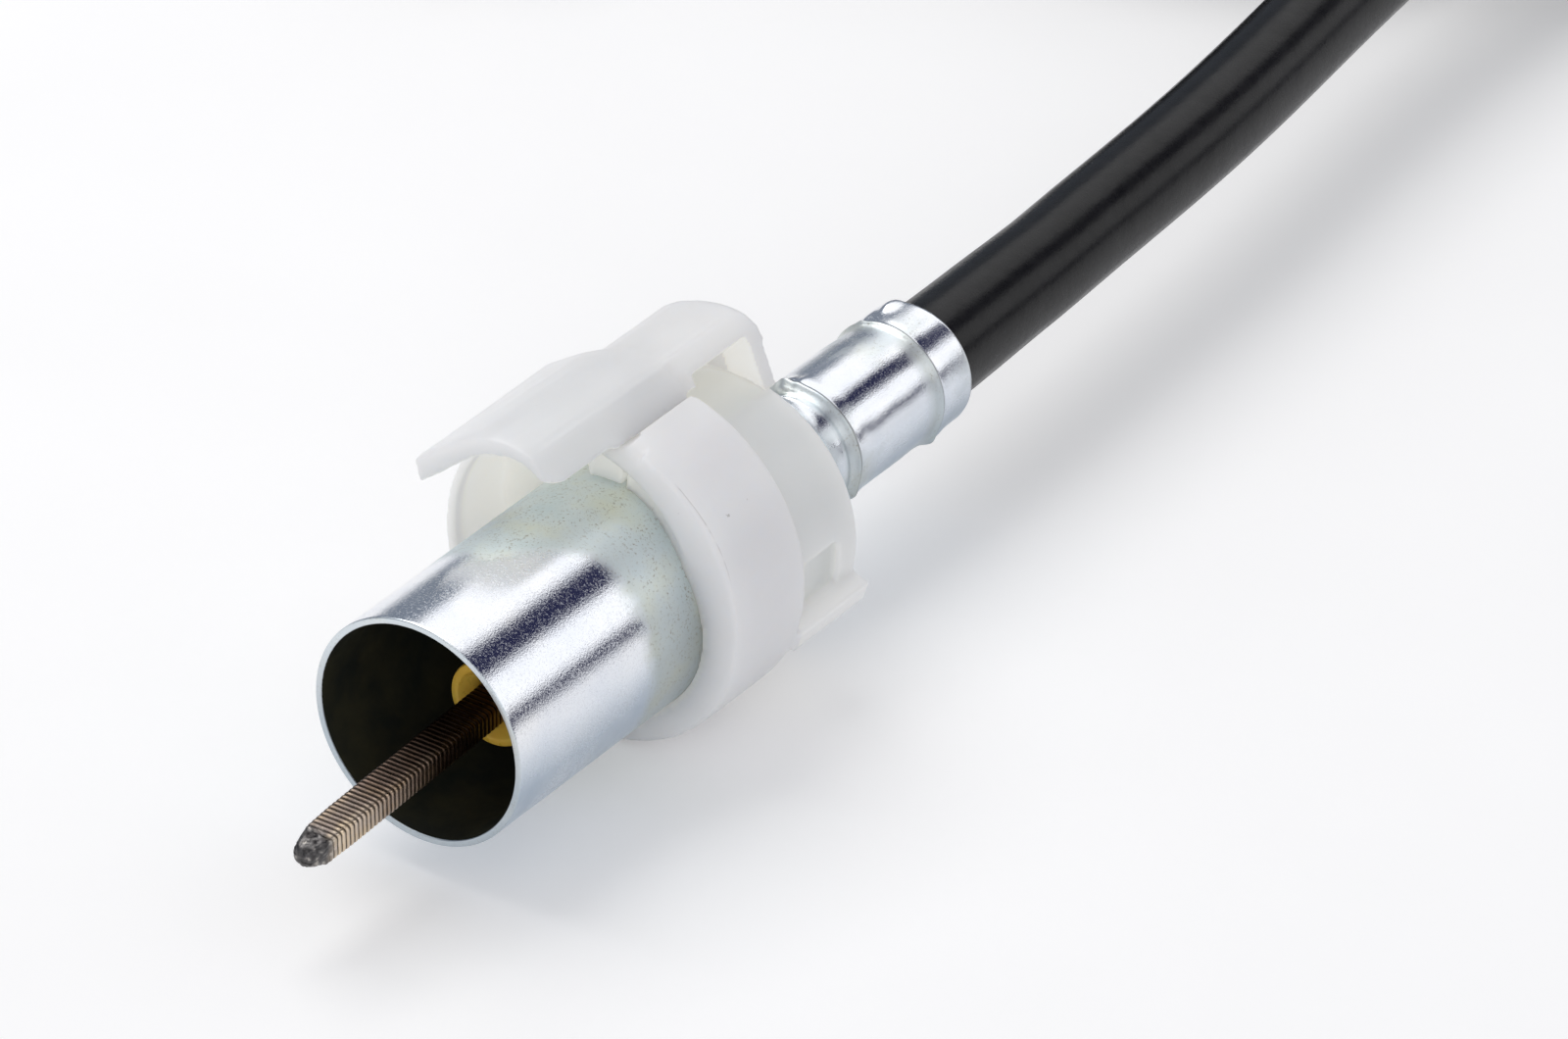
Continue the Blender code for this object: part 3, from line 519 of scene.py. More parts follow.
# Painted shade: the lower side is tinted a dull, darker blue, broken by noise; the rim takes part of
# the same tone as its own duller finish.
low_shade_and_rim = ramp_mm(tree, up, (-2.0, 0.95), (3.0, 0.0))
low_shade_and_rim = product(tree, low_shade_and_rim, ramp(tree, grain(tree, 150, 4), (0.25, 0.6), (0.6, 1.0)))
low_shade_and_rim = lighter(tree, low_shade_and_rim, rim)
colour = mixed(tree, satin, mixed(tree, low_shade_and_rim, bright, (0.455, 0.535, 0.625)), passive_and_painted_shade)
pits = product(
    tree,
    ramp(tree, grain(tree, 4200, 3, rough=0.75), (0.56, 0.0), (0.66, 1.0)),
    ramp(tree, grain(tree, 480, 3), (0.4, 0.25), (0.62, 1.0)),
    mixed(tree, satin, (0.12, 0.12, 0.12), (0.8, 0.8, 0.8)),
)
colour = mixed(tree, pits, colour, (0.3, 0.27, 0.2))
colour = mixed(tree, crease_shadow, colour, (0.12, 0.12, 0.13))
tree.links.new(colour, shader.inputs["Base Color"])

# A mirror with fine specks on the cylinder, drawing marks along the tube.
speckle = grain(tree, 5600, 3, rough=0.7)
polish = ramp(tree, speckle, (0.48, 0.03), (0.61, 0.3))
drawn = ramp(tree, grain(tree, 1600, 4, (1.0, 0.04, 1.0)), (0.35, 0.08), (0.7, 0.24))
drawn = lighter(tree, drawn, ramp(tree, speckle, (0.5, 0.0), (0.64, 0.28)))
# The lower side that takes the painted shade is also rougher.
polish = mixed(tree, low_shade_and_rim, mixed(tree, tube, polish, drawn), (0.34, 0.34, 0.34))
tree.links.new(mixed(tree, satin, polish, (0.5, 0.5, 0.5)), shader.inputs["Roughness"])
raise_grain(tree, shader, grain(tree, 7500, 2, rough=0.7), 0.000014, 0.9)
raise_grain(tree, shader, grain(tree, 500, 3, (1.0, 0.12, 1.0)), 0.00003, 0.25)
sleeve.data.materials.append(zinc)

# The inside of the sleeve is coloured near black, with olive in its lighter patches.
bore_lining, tree, shader = new_finish("dark_bore", (0.012, 0.013, 0.006), 0.5)
drive(tree, shader, "Base Color", grain(tree, 300, 4),
      (0.38, (0.019, 0.022, 0.019)), (0.72, (0.042, 0.040, 0.024)))
drive(tree, shader, "Roughness", grain(tree, 700, 3), (0.3, 0.45), (0.7, 0.62))
shader.inputs["Specular IOR Level"].default_value = 0.12
raise_grain(tree, shader, grain(tree, 3200, 2), 0.00002, 0.4)
sleeve.data.materials.append(bore_lining)
for face in sleeve.data.polygons:
    centre = face.center / MM
    radial = Vector((centre.x, 0, centre.z))
    inside = face.normal.dot(radial) < 0 and radial.length < SLEEVE_R - SLEEVE_WALL / 2
    if inside and centre.y > RIM_ROUND:
        face.material_index = 1

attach(sleeve, "connector")
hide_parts("connector_sleeve")


# ---- Conduit and bush ---------------------------------------------------------------------------
# Inside the casing runs a conduit of flat steel wound edge to edge. A turned brass bush with a
# coned mouth sits on its front end and guides the shaft.

CROSSING = 56.0
DROOP = 2.65
CONDUIT_R = 2.8
CONDUIT_BORE = 1.95
CONDUIT_FRONT = 13.4
CONDUIT_BACK = 60.2
CONDUIT_STEPS = 180
CONDUIT_SIDES = 40
STRIP_WIDE = 1.6
STRIP_EDGE_DEEP = 0.16
BUSH_R = 3.5
BUSH_FACE = 8.5
BUSH_LONG = 8.0
BUSH_CONE_R = 2.9
BUSH_CONE_DEEP = 1.5
BUSH_SIDES = 96


def on_shaft(roll=0.0):
    """The shaft's frame: it hangs a little low at the mouth and crosses the sleeve's axis."""
    lean = Matrix.Rotation(math.radians(DROOP), 4, "X") @ Matrix.Rotation(math.radians(roll), 4, "Y")
    return Matrix.Translation((MOUTH + Vector((0, CROSSING, 0))) * MM) @ lean


def wound_conduit(front, back):
    """A tube whose outside shows the edges of its wound strip."""
    profile = [
        (front + (back - front) * i / CONDUIT_STEPS, CONDUIT_R) for i in range(CONDUIT_STEPS + 1)
    ]
    bm = spun([(front, CONDUIT_BORE)] + profile + [(back, CONDUIT_BORE)], CONDUIT_SIDES)
    for vert in bm.verts:
        if math.hypot(vert.co.x, vert.co.z) > CONDUIT_R - 0.1:
            phase = (vert.co.y / STRIP_WIDE - math.atan2(vert.co.z, vert.co.x) / math.tau) % 1.0
            push_out(vert, -STRIP_EDGE_DEEP * bell(min(phase, 1 - phase), 0.12))
    return bm


strip, tree, shader = new_finish("wound_strip_steel", (0.3, 0.3, 0.3), 0.5, 1.0)
drive(tree, shader, "Base Color", grain(tree, 900, 3),
      (0.3, (0.2, 0.2, 0.2)), (0.7, (0.36, 0.355, 0.34)))
drive(tree, shader, "Roughness", grain(tree, 1500, 2), (0.3, 0.38), (0.7, 0.62))
raise_grain(tree, shader, grain(tree, 2500, 2), 0.00001, 0.5)
bm = wound_conduit(CONDUIT_FRONT - CROSSING, CONDUIT_BACK - CROSSING)
conduit = piece_from("wound_conduit", bm, on_shaft(), sharp=60)
conduit.data.materials.append(strip)
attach(conduit, "connector")
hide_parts("steel_conduit")

face, step = BUSH_FACE - CROSSING, CONDUIT_FRONT - CROSSING - 0.3
end = face + BUSH_LONG
profile = [
    (face + 0.06, BUSH_CONE_R - 0.1), (face, BUSH_CONE_R), (face, BUSH_R - 0.22),
    (face + 0.06, BUSH_R - 0.08), (face + 0.22, BUSH_R), (face + 2.6, BUSH_R),
    (face + 2.75, BUSH_R - 0.14), (face + 3.05, BUSH_R - 0.14), (face + 3.2, BUSH_R),
    (end - 0.2, BUSH_R), (end, BUSH_R - 0.15), (end, CONDUIT_R + 0.3), (step, CONDUIT_R + 0.3),
    (step, CONDUIT_BORE), (face + BUSH_CONE_DEEP + 0.1, CONDUIT_BORE),
    (face + BUSH_CONE_DEEP - 0.15, CONDUIT_BORE + 0.12),
]
bush = piece_from("brass_bush", spun(profile, BUSH_SIDES), on_shaft(), sharp=40)
brass, tree, shader = new_finish("turned_brass", (0.95, 0.62, 0.09), 0.32, 0.1)
drive(tree, shader, "Base Color", grain(tree, 500, 4),
      (0.3, (0.96, 0.56, 0.07)), (0.7, (1.0, 0.69, 0.11)))
drive(tree, shader, "Roughness", grain(tree, 1400, 3), (0.3, 0.22), (0.7, 0.42))
raise_grain(tree, shader, grain(tree, 5000, 2, (0.2, 1.0, 0.2)), 0.00001, 0.4)
bush.data.materials.append(brass)
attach(bush, "connector")
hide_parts("casing_bush")


# ---- Drive shaft --------------------------------------------------------------------------------
# Spring wires wound in layers on a core, four side by side in the outer layer. The end is swaged
# square to drive the instrument, and its tip is fused so that the wires can't spring open.

SHAFT_R = 1.6
FLATS = 2.6
SHAFT_OUT = 14.1
SQUARE_LONG = 34.0
SHAFT_ROLL = 12.0
WIRE_PITCH = 0.485
WIRES = 4
WIRE_DEEP = 0.15
TIP_LONG = 2.5
TIP_NOSE = 0.6
ROUND_BACK = 2.0
SHAFT_SIDES = 72


def square_reach(turn, half, sharpness):
    """How far out a square with rounded corners lies at an angle."""
    across, up = abs(math.cos(turn)), abs(math.sin(turn))
    return half / (across ** sharpness + up ** sharpness) ** (1 / sharpness)


def wound_shaft(tip, back, shown, seed):
    """A wound shaft along +Y: fused tip, swaged square, then round to the back."""
    bm = bmesh.new()
    groove = bm.verts.layers.float.new("groove")
    fused = bm.verts.layers.float.new("fused")
    stations = [0.0, 0.05, 0.14, 0.27, 0.42, TIP_NOSE]
    while stations[-1] < shown:
        stations.append(stations[-1] + WIRE_PITCH / 8)
    stations += [shown + 1.0, SQUARE_LONG, SQUARE_LONG + ROUND_BACK, back - tip]
    rows = []
    for along in stations:
        whole = ease(along, TIP_LONG - 1.1, TIP_LONG + 0.2) * (1 - ease(along, shown - 0.5, shown))
        taper = 0.66 + 0.3 * ease(along, 0.0, 2.4) + 0.04 * ease(along, 2.4, 5.0)
        corners = 2.8 + 4.2 * ease(along, 0.2, 2.6)
        nose = math.sqrt(max(0.0, 1 - (1 - min(along / TIP_NOSE, 1.0)) ** 2))
        round_back = ease(along, SQUARE_LONG, SQUARE_LONG + ROUND_BACK)
        row = []
        for i in range(SHAFT_SIDES):
            turn = math.tau * i / SHAFT_SIDES
            across, up = math.cos(turn), math.sin(turn)
            flat = square_reach(turn, FLATS / 2, corners)
            radius = flat * (1 - round_back) + SHAFT_R * round_back
            radius *= taper * (0.25 + 0.75 * nose)
            phase = (along / WIRE_PITCH + WIRES * turn / math.tau) % 1.0
            dip = WIRE_DEEP * (1 - math.sqrt(max(0.0, 1 - (2 * phase - 1) ** 2)))
            lump = noise.noise(Vector((across * 1.6, along * 1.5, up * 1.6 + seed)))
            fine = noise.noise(Vector((across * 4.2, along * 4.0, up * 4.2 + seed)))
            blob = 1 - ease(along, TIP_LONG - 0.9, TIP_LONG + 0.6 + 0.5 * lump)
            radius += -dip * whole + blob * (0.09 * lump + 0.07 * fine)
            place = (radius * across, tip + along - blob * 0.05 * fine, radius * up)
            vert = bm.verts.new(place)
            vert[groove] = min(1.0, dip / WIRE_DEEP) * whole
            vert[fused] = blob
            row.append(vert)
        rows.append(row)
    for near, far in zip(rows, rows[1:]):
        for i in range(SHAFT_SIDES):
            bm.faces.new((near[i - 1], near[i], far[i], far[i - 1]))
    bm.faces.new(rows[0])
    bm.faces.new(rows[-1])
    return bm


def wound_wire(name, mouth, bare):
    """Spring wire: browned and greased inside the fitting, rubbed silvery where it stands out."""
    material, tree, shader = new_finish(name, (0.2, 0.17, 0.15), 0.36, 1.0)
    across, along, up = split_place(tree)
    wander = maths(tree, "MULTIPLY_ADD", grain(tree, 380, 3), 8 * MM, -4 * MM)
    worn = maths(tree, "ADD", maths(tree, "SUBTRACT", mouth * MM, along), wander)
    worn = maths(tree, "DIVIDE", worn, bare * MM)
    outer = ramp(
        tree, worn,
        (0.0, (0.13, 0.085, 0.06)), (0.5, (0.33, 0.27, 0.235)), (1.0, (0.62, 0.57, 0.53)),
    )
    tints = ramp(
        tree, grain(tree, 620, 3, (1.0, 0.5, 1.0)),
        (0.32, (0.75, 0.7, 0.62)), (0.5, (1.0, 0.95, 0.92)), (0.7, (1.1, 1.0, 0.82)),
    )
    # Painted light and shade: the half of the shaft that faces up and left is darkened, the half
    # that faces down and right is lightened.
    painted_facet_light = maths(tree, "SUBTRACT", up, across)
    painted_facet_light = ramp_mm(tree, painted_facet_light, (0.2, (1.3, 1.26, 1.16)), (0.75, (0.4, 0.375, 0.37)))
    outer = product(tree, outer, tints, painted_facet_light)
    lines = ramp(tree, on_points(tree, "groove"), (0.16, 0.0), (0.55, 1.0))
    between = ramp(tree, worn, (0.0, (0.014, 0.01, 0.008)), (1.0, (0.07, 0.055, 0.045)))
    colour = mixed(tree, lines, outer, between)
    melted = ramp(
        tree, grain(tree, 1500, 4),
        (0.35, (0.035, 0.033, 0.034)), (0.56, (0.13, 0.125, 0.125)), (0.68, (0.48, 0.45, 0.41)),
    )
    colour = mixed(tree, on_points(tree, "fused"), colour, melted)
    tree.links.new(colour, shader.inputs["Base Color"])
    rough = ramp(tree, grain(tree, 1800, 3), (0.3, 0.26), (0.7, 0.46))
    tree.links.new(mixed(tree, lines, rough, (0.8, 0.8, 0.8)), shader.inputs["Roughness"])
    raise_grain(tree, shader, grain(tree, 3800, 3), 0.00002, 0.5)
    return material


bm = wound_shaft(-SHAFT_OUT - CROSSING, back=59.3 - CROSSING, shown=24.5, seed=1.7)
shaft = piece_from("wound_shaft", bm, on_shaft(SHAFT_ROLL), sharp=75)
shaft.data.materials.append(wound_wire("spring_wire", mouth=1.0 - CROSSING, bare=11.0))
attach(shaft, "inner_shaft")
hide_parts("drive_shaft")


# ---- Clip ---------------------------------------------------------------------------------------
# One moulding in natural white nylon, soft at its edges: a thick collar set off the sleeve's axis,
# and behind it a thinner cage with two windows and two ribs, which snaps over the shoulder.

CLIP_FRONT = 22.0
COLLAR_BACK = 31.0
CLIP_BACK = 40.0
# Circles set off from the sleeve's axis: how far across and up, and their radius.
COLLAR = (-0.75, 1.3, 13.24)
POCKET = (-2.2, 1.8, 11.0)
POCKET_BACK = 28.0
# Angles round the sleeve, from the right side towards the top.
POCKET_END = (7, 82)
COLLAR_EDGE = (142, 438)
WINDOWS = (-4.0, 200.0)
WINDOW_HALF = 11.5
WINDOW_BACK = 37.5
WINDOW_RIM = 11.0
CAGE_TOP = 11.2
BORE_REACH = 9.7
MOULD_STEP = 0.2
BORE_DRAWN_IN = 0.27
# How much painted light each kind of place in the nylon takes: a cream tint and a faint glow that
# stand in for light coming through it.
IN_BORE = 0.7
IN_FRONT = 0.6
IN_CAGE = 0.45
UNDER_LEVER = 0.8
PAINTED_GLOW = 0.12
NYLON_SCATTER = 0.005


def moulded(name, node, smoothing, *webs):
    """A node's shape and its webs, with the edges rounded as they come out of a mould."""
    shape = bmesh.new()
    shape.from_mesh(nodes[node].data)
    joined = bpy.data.meshes.new(name)
    for web in webs:
        bmesh.ops.transform(web, matrix=on_axis() @ Matrix.Scale(MM, 4), verts=web.verts)
        web.to_mesh(joined)
        web.free()
        shape.from_mesh(joined)
    shape.to_mesh(joined)
    shape.free()
    piece = bpy.data.objects.new(name, joined)
    bpy.context.scene.collection.objects.link(piece)
    remesh = piece.modifiers.new("even", "REMESH")
    remesh.mode = "VOXEL"
    remesh.voxel_size = MOULD_STEP * MM
    soften = piece.modifiers.new("soften", "SMOOTH")
    soften.factor = 0.5
    soften.iterations = smoothing
    settle(piece)
    piece.data.materials.clear()
    piece.data.shade_smooth()
    return piece


def web_round(stations):
    """A block round the sleeve, by stations of angle, inner and outer radius, front and back."""
    bm = bmesh.new()
    rings = []
    for angle, inner, outer, near, far in stations:
        across, up = math.cos(math.radians(angle)), math.sin(math.radians(angle))
        section = ((inner, near), (outer, near), (outer, far), (inner, far))
        rings.append([
            bm.verts.new((radius * across, along, radius * up)) for radius, along in section
        ])
    for one, other in zip(rings, rings[1:]):
        for i in range(4):
            bm.faces.new((one[i - 1], one[i], other[i], other[i - 1]))
    bm.faces.new(rings[0])
    bm.faces.new(rings[-1])
    bmesh.ops.recalc_face_normals(bm, faces=bm.faces)
    return bm


def reach(angle, circle):
    """How far from the sleeve's axis a circle set off from it lies, by angle."""
    off_x, off_z, radius = circle
    toward = math.cos(math.radians(angle)) * off_x + math.sin(math.radians(angle)) * off_z
    return toward + math.sqrt(radius ** 2 - off_x ** 2 - off_z ** 2 + toward ** 2)


def mark_painted_light(piece, painted_light):
    """Stores at each point how much painted light it takes: a cream tint and a faint glow that stand
    in for light coming through the nylon.
    """
    layer = piece.data.attributes.new("painted_light", "FLOAT", "POINT")
    values = [painted_light(vert.co / MM - MOUTH, vert.normal) for vert in piece.data.vertices]
    layer.data.foreach_set("value", values)


def close_bore(piece):
    """Draws the bore in until it all but touches the sleeve."""
    for vert in piece.data.vertices:
        at = vert.co / MM - MOUTH
        radius = math.hypot(at.x, at.z)
        if radius < BORE_REACH + 0.1 and at.y < 36.0:
            vert.co -= Vector((at.x, 0, at.z)) / radius * BORE_DRAWN_IN * MM


def clip_painted_light(at, normal):
    """How much painted light a point of the clip takes, by how much it lies in the pocket, the bore,
    a window or the cage.
    """
    radius = math.hypot(at.x, at.z)
    turn = math.degrees(math.atan2(at.z, at.x))
    painted_share = 0.0
    from_pocket = math.hypot(at.x - POCKET[0], at.z - POCKET[1])
    if at.y < POCKET_BACK + 0.4 and from_pocket < POCKET[2] + 0.25:
        painted_share = ease(at.y, CLIP_FRONT + 0.2, CLIP_FRONT + 1.6)
    if radius < BORE_REACH:
        painted_share = max(painted_share, IN_BORE)
    if at.y < CLIP_FRONT + 1.0:
        painted_share = max(painted_share, IN_FRONT * ease(-normal.y, 0.2, 0.8) * ease(-at.x, 2.0, 8.0))
    for window in WINDOWS:
        off = abs((turn - window + 180) % 360 - 180)
        if off < WINDOW_HALF and COLLAR_BACK < at.y < WINDOW_BACK and radius < CAGE_TOP:
            painted_share = max(painted_share, ease(WINDOW_RIM - radius, 0.0, 0.9))
    painted_share = max(painted_share, IN_CAGE * ease(at.y, COLLAR_BACK - 0.2, COLLAR_BACK + 0.2))
    if COLLAR_BACK - 0.3 < at.y < CLIP_BACK - 1.3 and radius < CAGE_TOP:
        painted_share = max(painted_share, ease(turn, 62.0, 84.0) * (1 - ease(turn, 122.0, 138.0)))
    return painted_share


def nylon(name, dust_scale):
    """Natural nylon: milky, satin, with faint flow marks and dust, and painted light in its hollows:
    a warm cream tint and a faint glow.
    """
    material, tree, shader = new_finish(name, (0.84, 0.83, 0.845), 0.38)
    milk_and_painted_light = ramp(
        tree, grain(tree, 120, 3, (1.0, 0.6, 1.0)),
        (0.3, (0.875, 0.862, 0.878)), (0.7, (0.915, 0.906, 0.917)),
    )
    # Painted light: where light would come through the nylon, the colour goes to a warm cream and
    # the surface glows faintly.
    painted_light = on_points(tree, "painted_light")
    milk_and_painted_light = mixed(tree, painted_light, milk_and_painted_light, (0.95, 0.937, 0.87))
    drive(tree, shader, "Emission Color", painted_light, (0.0, 0.0), (1.0, (1.0, 0.98, 0.92)))
    shader.inputs["Emission Strength"].default_value = PAINTED_GLOW
    dust = ramp(tree, grain(tree, dust_scale, 2), (0.76, 0.0), (0.79, 0.55))
    milk_and_painted_light = mixed(tree, dust, milk_and_painted_light, (0.4, 0.37, 0.34))
    tree.links.new(milk_and_painted_light, shader.inputs["Base Color"])
    drive(tree, shader, "Roughness", grain(tree, 700, 4), (0.3, 0.3), (0.7, 0.46))
    shader.inputs["Subsurface Weight"].default_value = 1.0
    shader.inputs["Subsurface Radius"].default_value = (1.0, 0.92, 0.85)
    shader.inputs["Subsurface Scale"].default_value = NYLON_SCATTER
    raise_grain(tree, shader, grain(tree, 3600, 2), 0.000012, 0.4)
    raise_grain(tree, shader, grain(tree, 260, 3), 0.00008, 0.3)
    return material, tree, shader, milk_and_painted_light


pocket_web = web_round([
    (angle, SLEEVE_R + 0.2, reach(angle, POCKET) + 0.6,
     CLIP_FRONT + 1.7 * ease(angle, 26, 86), POCKET_BACK + 0.5)
    for angle in range(POCKET_END[0], POCKET_END[1] + 1, 3)
])
front_edge = web_round([
    (angle, max(reach(angle, POCKET), reach(angle, COLLAR) - 1.7), reach(angle, COLLAR),
     CLIP_FRONT, CLIP_FRONT + 2.2)
    for angle in range(*COLLAR_EDGE, 4)
])
clip = moulded("snap_clip", "clip_body", 5, pocket_web, front_edge)
close_bore(clip)
mark_painted_light(clip, clip_painted_light)

# A thin broken dark line runs round the upper right of the collar, just behind its front edge.
clip_nylon, tree, shader, milk_and_painted_light = nylon("clip_nylon", 1300)
across, along, up = split_place(tree)
wander = maths(tree, "MULTIPLY_ADD", grain(tree, 160, 1), 0.6 * MM, -0.3 * MM)
dark_line_at = maths(tree, "SUBTRACT", along, (MOUTH.y + CLIP_FRONT + 0.35) * MM)
dark_line_at = maths(tree, "ABSOLUTE", maths(tree, "ADD", dark_line_at, wander))
dark_line = product(
    tree,
    ramp_mm(tree, dark_line_at, (0.025, 0.4), (0.0875, 0.0)),
    ramp(tree, grain(tree, 300, 3), (0.44, 0.0), (0.54, 1.0)),
    ramp_mm(tree, across, (5.5, 0.0), (7.0, 1.0)),
    ramp_mm(tree, up, (14.8, 0.0), (16.4, 1.0)),
)
tree.links.new(mixed(tree, dark_line, milk_and_painted_light, (0.33, 0.31, 0.3)), shader.inputs["Base Color"])
clip.data.materials.append(clip_nylon)
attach(clip, "connector")
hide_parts("clip_body")


# ---- Lever --------------------------------------------------------------------------------------
# A winged thumb lever moulded in the same nylon, over the collar. Its leg is hinged on the cage,
# its barb drops through the collar into the sleeve, and two fine ridges run along its right edge.

# Ridges: how far to the side, how high, how wide.
RIDGES = ((4.35, 0.09, 0.16), (3.75, 0.05, 0.14))
LEVER_FRONT = 14.1
BARB_FRONT = 25.2
FOOT_DROP = 0.32
FOOT_SPREAD = 0.2

barb_web = web_round([
    (angle, SLEEVE_R + 0.08, 12.8, BARB_FRONT - 1.6, BARB_FRONT + 0.4)
    for angle in range(84, 104, 3)
])
lever = moulded("release_lever_moulding", "release_lever", 4, barb_web)
turn = math.radians(LEVER_ANGLE)
sideways = Vector((math.sin(turn), 0, -math.cos(turn)))
outwards = Vector((math.cos(turn), 0, math.sin(turn)))
for vert in lever.data.vertices:
    at = vert.co / MM - MOUTH
    q, h = at.dot(sideways), at.dot(outwards)
    if vert.normal.dot(outwards) > 0.35 and h > 14.0:
        rise = sum(high * bell(q - where, wide) for where, high, wide in RIDGES)
        rise *= ease(at.y, LEVER_FRONT + 0.6, LEVER_FRONT + 2.0)
        rise *= 1 - ease(at.y, CLIP_BACK - 3.0, CLIP_BACK - 1.2)
        vert.co += vert.normal * rise * MM
    if q > 4.0:
        foot = (1 - ease(h, 12.9, 14.2)) * ease(at.y, CLIP_FRONT - 1.0, CLIP_FRONT)
        foot *= 1 - ease(at.y, COLLAR_BACK - 0.8, COLLAR_BACK - 0.4)
        vert.co += (sideways * FOOT_SPREAD * (q > 5.0) - outwards * FOOT_DROP) * foot * MM


def lever_painted_light(at, normal):
    """How much painted light a point of the lever takes: on its underside, by a window of the cage
    or on the barb.
    """
    q, h = at.dot(sideways), at.dot(outwards)
    painted_share = ease(-normal.dot(outwards), 0.2, 0.7) * UNDER_LEVER
    if q > 3.0 and h < 14.1 and COLLAR_BACK < at.y < CLIP_BACK - 1.4 and normal.dot(sideways) < 0.4:
        painted_share = 1.0
    if at.y < BARB_FRONT + 2.0 and abs(q) < 5.5:
        painted_share = max(painted_share, 1.0 - ease(h, 11.6, 13.0))
    return painted_share


mark_painted_light(lever, lever_painted_light)
lever.data.materials.append(nylon("lever_nylon", 1470)[0])
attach(lever, "lever")
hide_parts("release_lever")


# ---- Far fitting --------------------------------------------------------------------------------
# The gearbox end: a crimped ferrule with a flange, a brass bush, a nylon thrust washer on the
# shaft's second squared end, a rubber sealing washer and a fluted coupling nut, zinc plated.

FAR_MOUTH = Vector((-81.41, 97.72, 9.0))
NUT_LONG = 14.0
NUT_BACK = 4.5
NUT_WALL = 1.7
NUT_BORE = NUT_R - NUT_WALL
NUT_HOLE = 5.35
NUT_BACK_WALL = 2.2
NUT_FLUTES = 18
FLUTE_DEEP = 0.5
THREAD_LONG = 9.0
THREAD_PITCH = 1.0
THREAD_DEEP = 0.28
FAR_SHAFT_OUT = 16.0
far_place = Matrix.Translation(FAR_MOUTH * MM)

front = NUT_BACK - NUT_LONG
floor = NUT_BACK - NUT_BACK_WALL
profile = [
    (front + 0.1, NUT_BORE + 0.3), (front, NUT_R - 1.2), (front + 0.25, NUT_R - 0.75),
    (front + 0.8, NUT_R - 0.02),
]
profile += [(front + 0.8 + (NUT_LONG - 1.6) * i / 12, NUT_R) for i in range(1, 12)]
profile += [
    (NUT_BACK - 0.8, NUT_R - 0.02), (NUT_BACK - 0.25, NUT_R - 0.75), (NUT_BACK, NUT_R - 1.2),
    (NUT_BACK, NUT_HOLE + 0.15), (NUT_BACK - 0.1, NUT_HOLE), (floor, NUT_HOLE), (floor, NUT_BORE),
]
thread = front + THREAD_LONG
while thread > front + 0.9:
    profile += [(thread, NUT_BORE), (thread - THREAD_PITCH / 4, NUT_BORE)]
    profile += [(thread - THREAD_PITCH / 2, NUT_BORE + THREAD_DEEP)]
    profile += [(thread - THREAD_PITCH * 3 / 4, NUT_BORE)]
    thread -= THREAD_PITCH
bm = spun(profile, NUT_FLUTES * 12)
for vert in bm.verts:
    if math.hypot(vert.co.x, vert.co.z) > NUT_R - 0.1:
        turn = math.atan2(vert.co.z, vert.co.x) / math.tau * NUT_FLUTES
        dip = FLUTE_DEEP * bell((turn % 1.0) - 0.5, 0.22)
        dip *= ease(vert.co.y, front + 0.6, front + 2.2)
        dip *= 1 - ease(vert.co.y, NUT_BACK - 2.2, NUT_BACK - 0.6)
        push_out(vert, -dip)
nut = piece_from("fluted_nut", bm, far_place, sharp=40)
far_zinc, tree, shader = new_finish("far_zinc", (0.8, 0.82, 0.85), 0.26, 1.0)
drive(tree, shader, "Base Color", grain(tree, 260, 4),
      (0.3, (0.72, 0.755, 0.8)), (0.55, (0.84, 0.85, 0.87)), (0.75, (0.8, 0.8, 0.73)))
drive(tree, shader, "Roughness", grain(tree, 1200, 4), (0.3, 0.18), (0.72, 0.4))
raise_grain(tree, shader, grain(tree, 4200, 3), 0.000018, 0.5)
nut.data.materials.append(far_zinc)
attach(nut, "nut")
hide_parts("coupling_nut")

bm = wound_shaft(-FAR_SHAFT_OUT, back=14.0, shown=16.0, seed=4.3)
far_shaft = piece_from("far_wound_shaft", bm, far_place, sharp=75)
far_shaft.data.materials.append(wound_wire("far_spring_wire", mouth=-2.0, bare=10.0))
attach(far_shaft, "far_shaft")
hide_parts("far_drive_shaft")

washer_nylon, tree, shader = new_finish("washer_nylon", (0.78, 0.77, 0.73), 0.42)
drive(tree, shader, "Base Color", grain(tree, 500, 3),
      (0.3, (0.7, 0.69, 0.65)), (0.7, (0.82, 0.81, 0.77)))
drive(tree, shader, "Roughness", grain(tree, 1300, 3), (0.3, 0.34), (0.7, 0.5))
raise_grain(tree, shader, grain(tree, 3000, 2), 0.00001, 0.4)
rubber, tree, shader = new_finish("washer_rubber", (0.02, 0.02, 0.02), 0.7)
drive(tree, shader, "Base Color", grain(tree, 700, 4),
      (0.3, (0.014, 0.014, 0.014)), (0.7, (0.032, 0.031, 0.03)))
drive(tree, shader, "Roughness", grain(tree, 1500, 3), (0.3, 0.6), (0.7, 0.85))
raise_grain(tree, shader, grain(tree, 2600, 2), 0.00002, 0.5)
for name, finish in (
    ("far_ferrule", far_zinc), ("far_bush", brass), ("far_conduit", strip),
    ("thrust_washer", washer_nylon), ("sealing_washer", rubber),
):
    nodes[name].data.materials.clear()
    nodes[name].data.materials.append(finish)


# ---- Bench and light ----------------------------------------------------------------------------
# A matt white bench that runs out to a white room, one broad soft lamp high on the left, a dim
# card in front that nothing mirrors, and softboxes with dark gaps that only show in reflections.

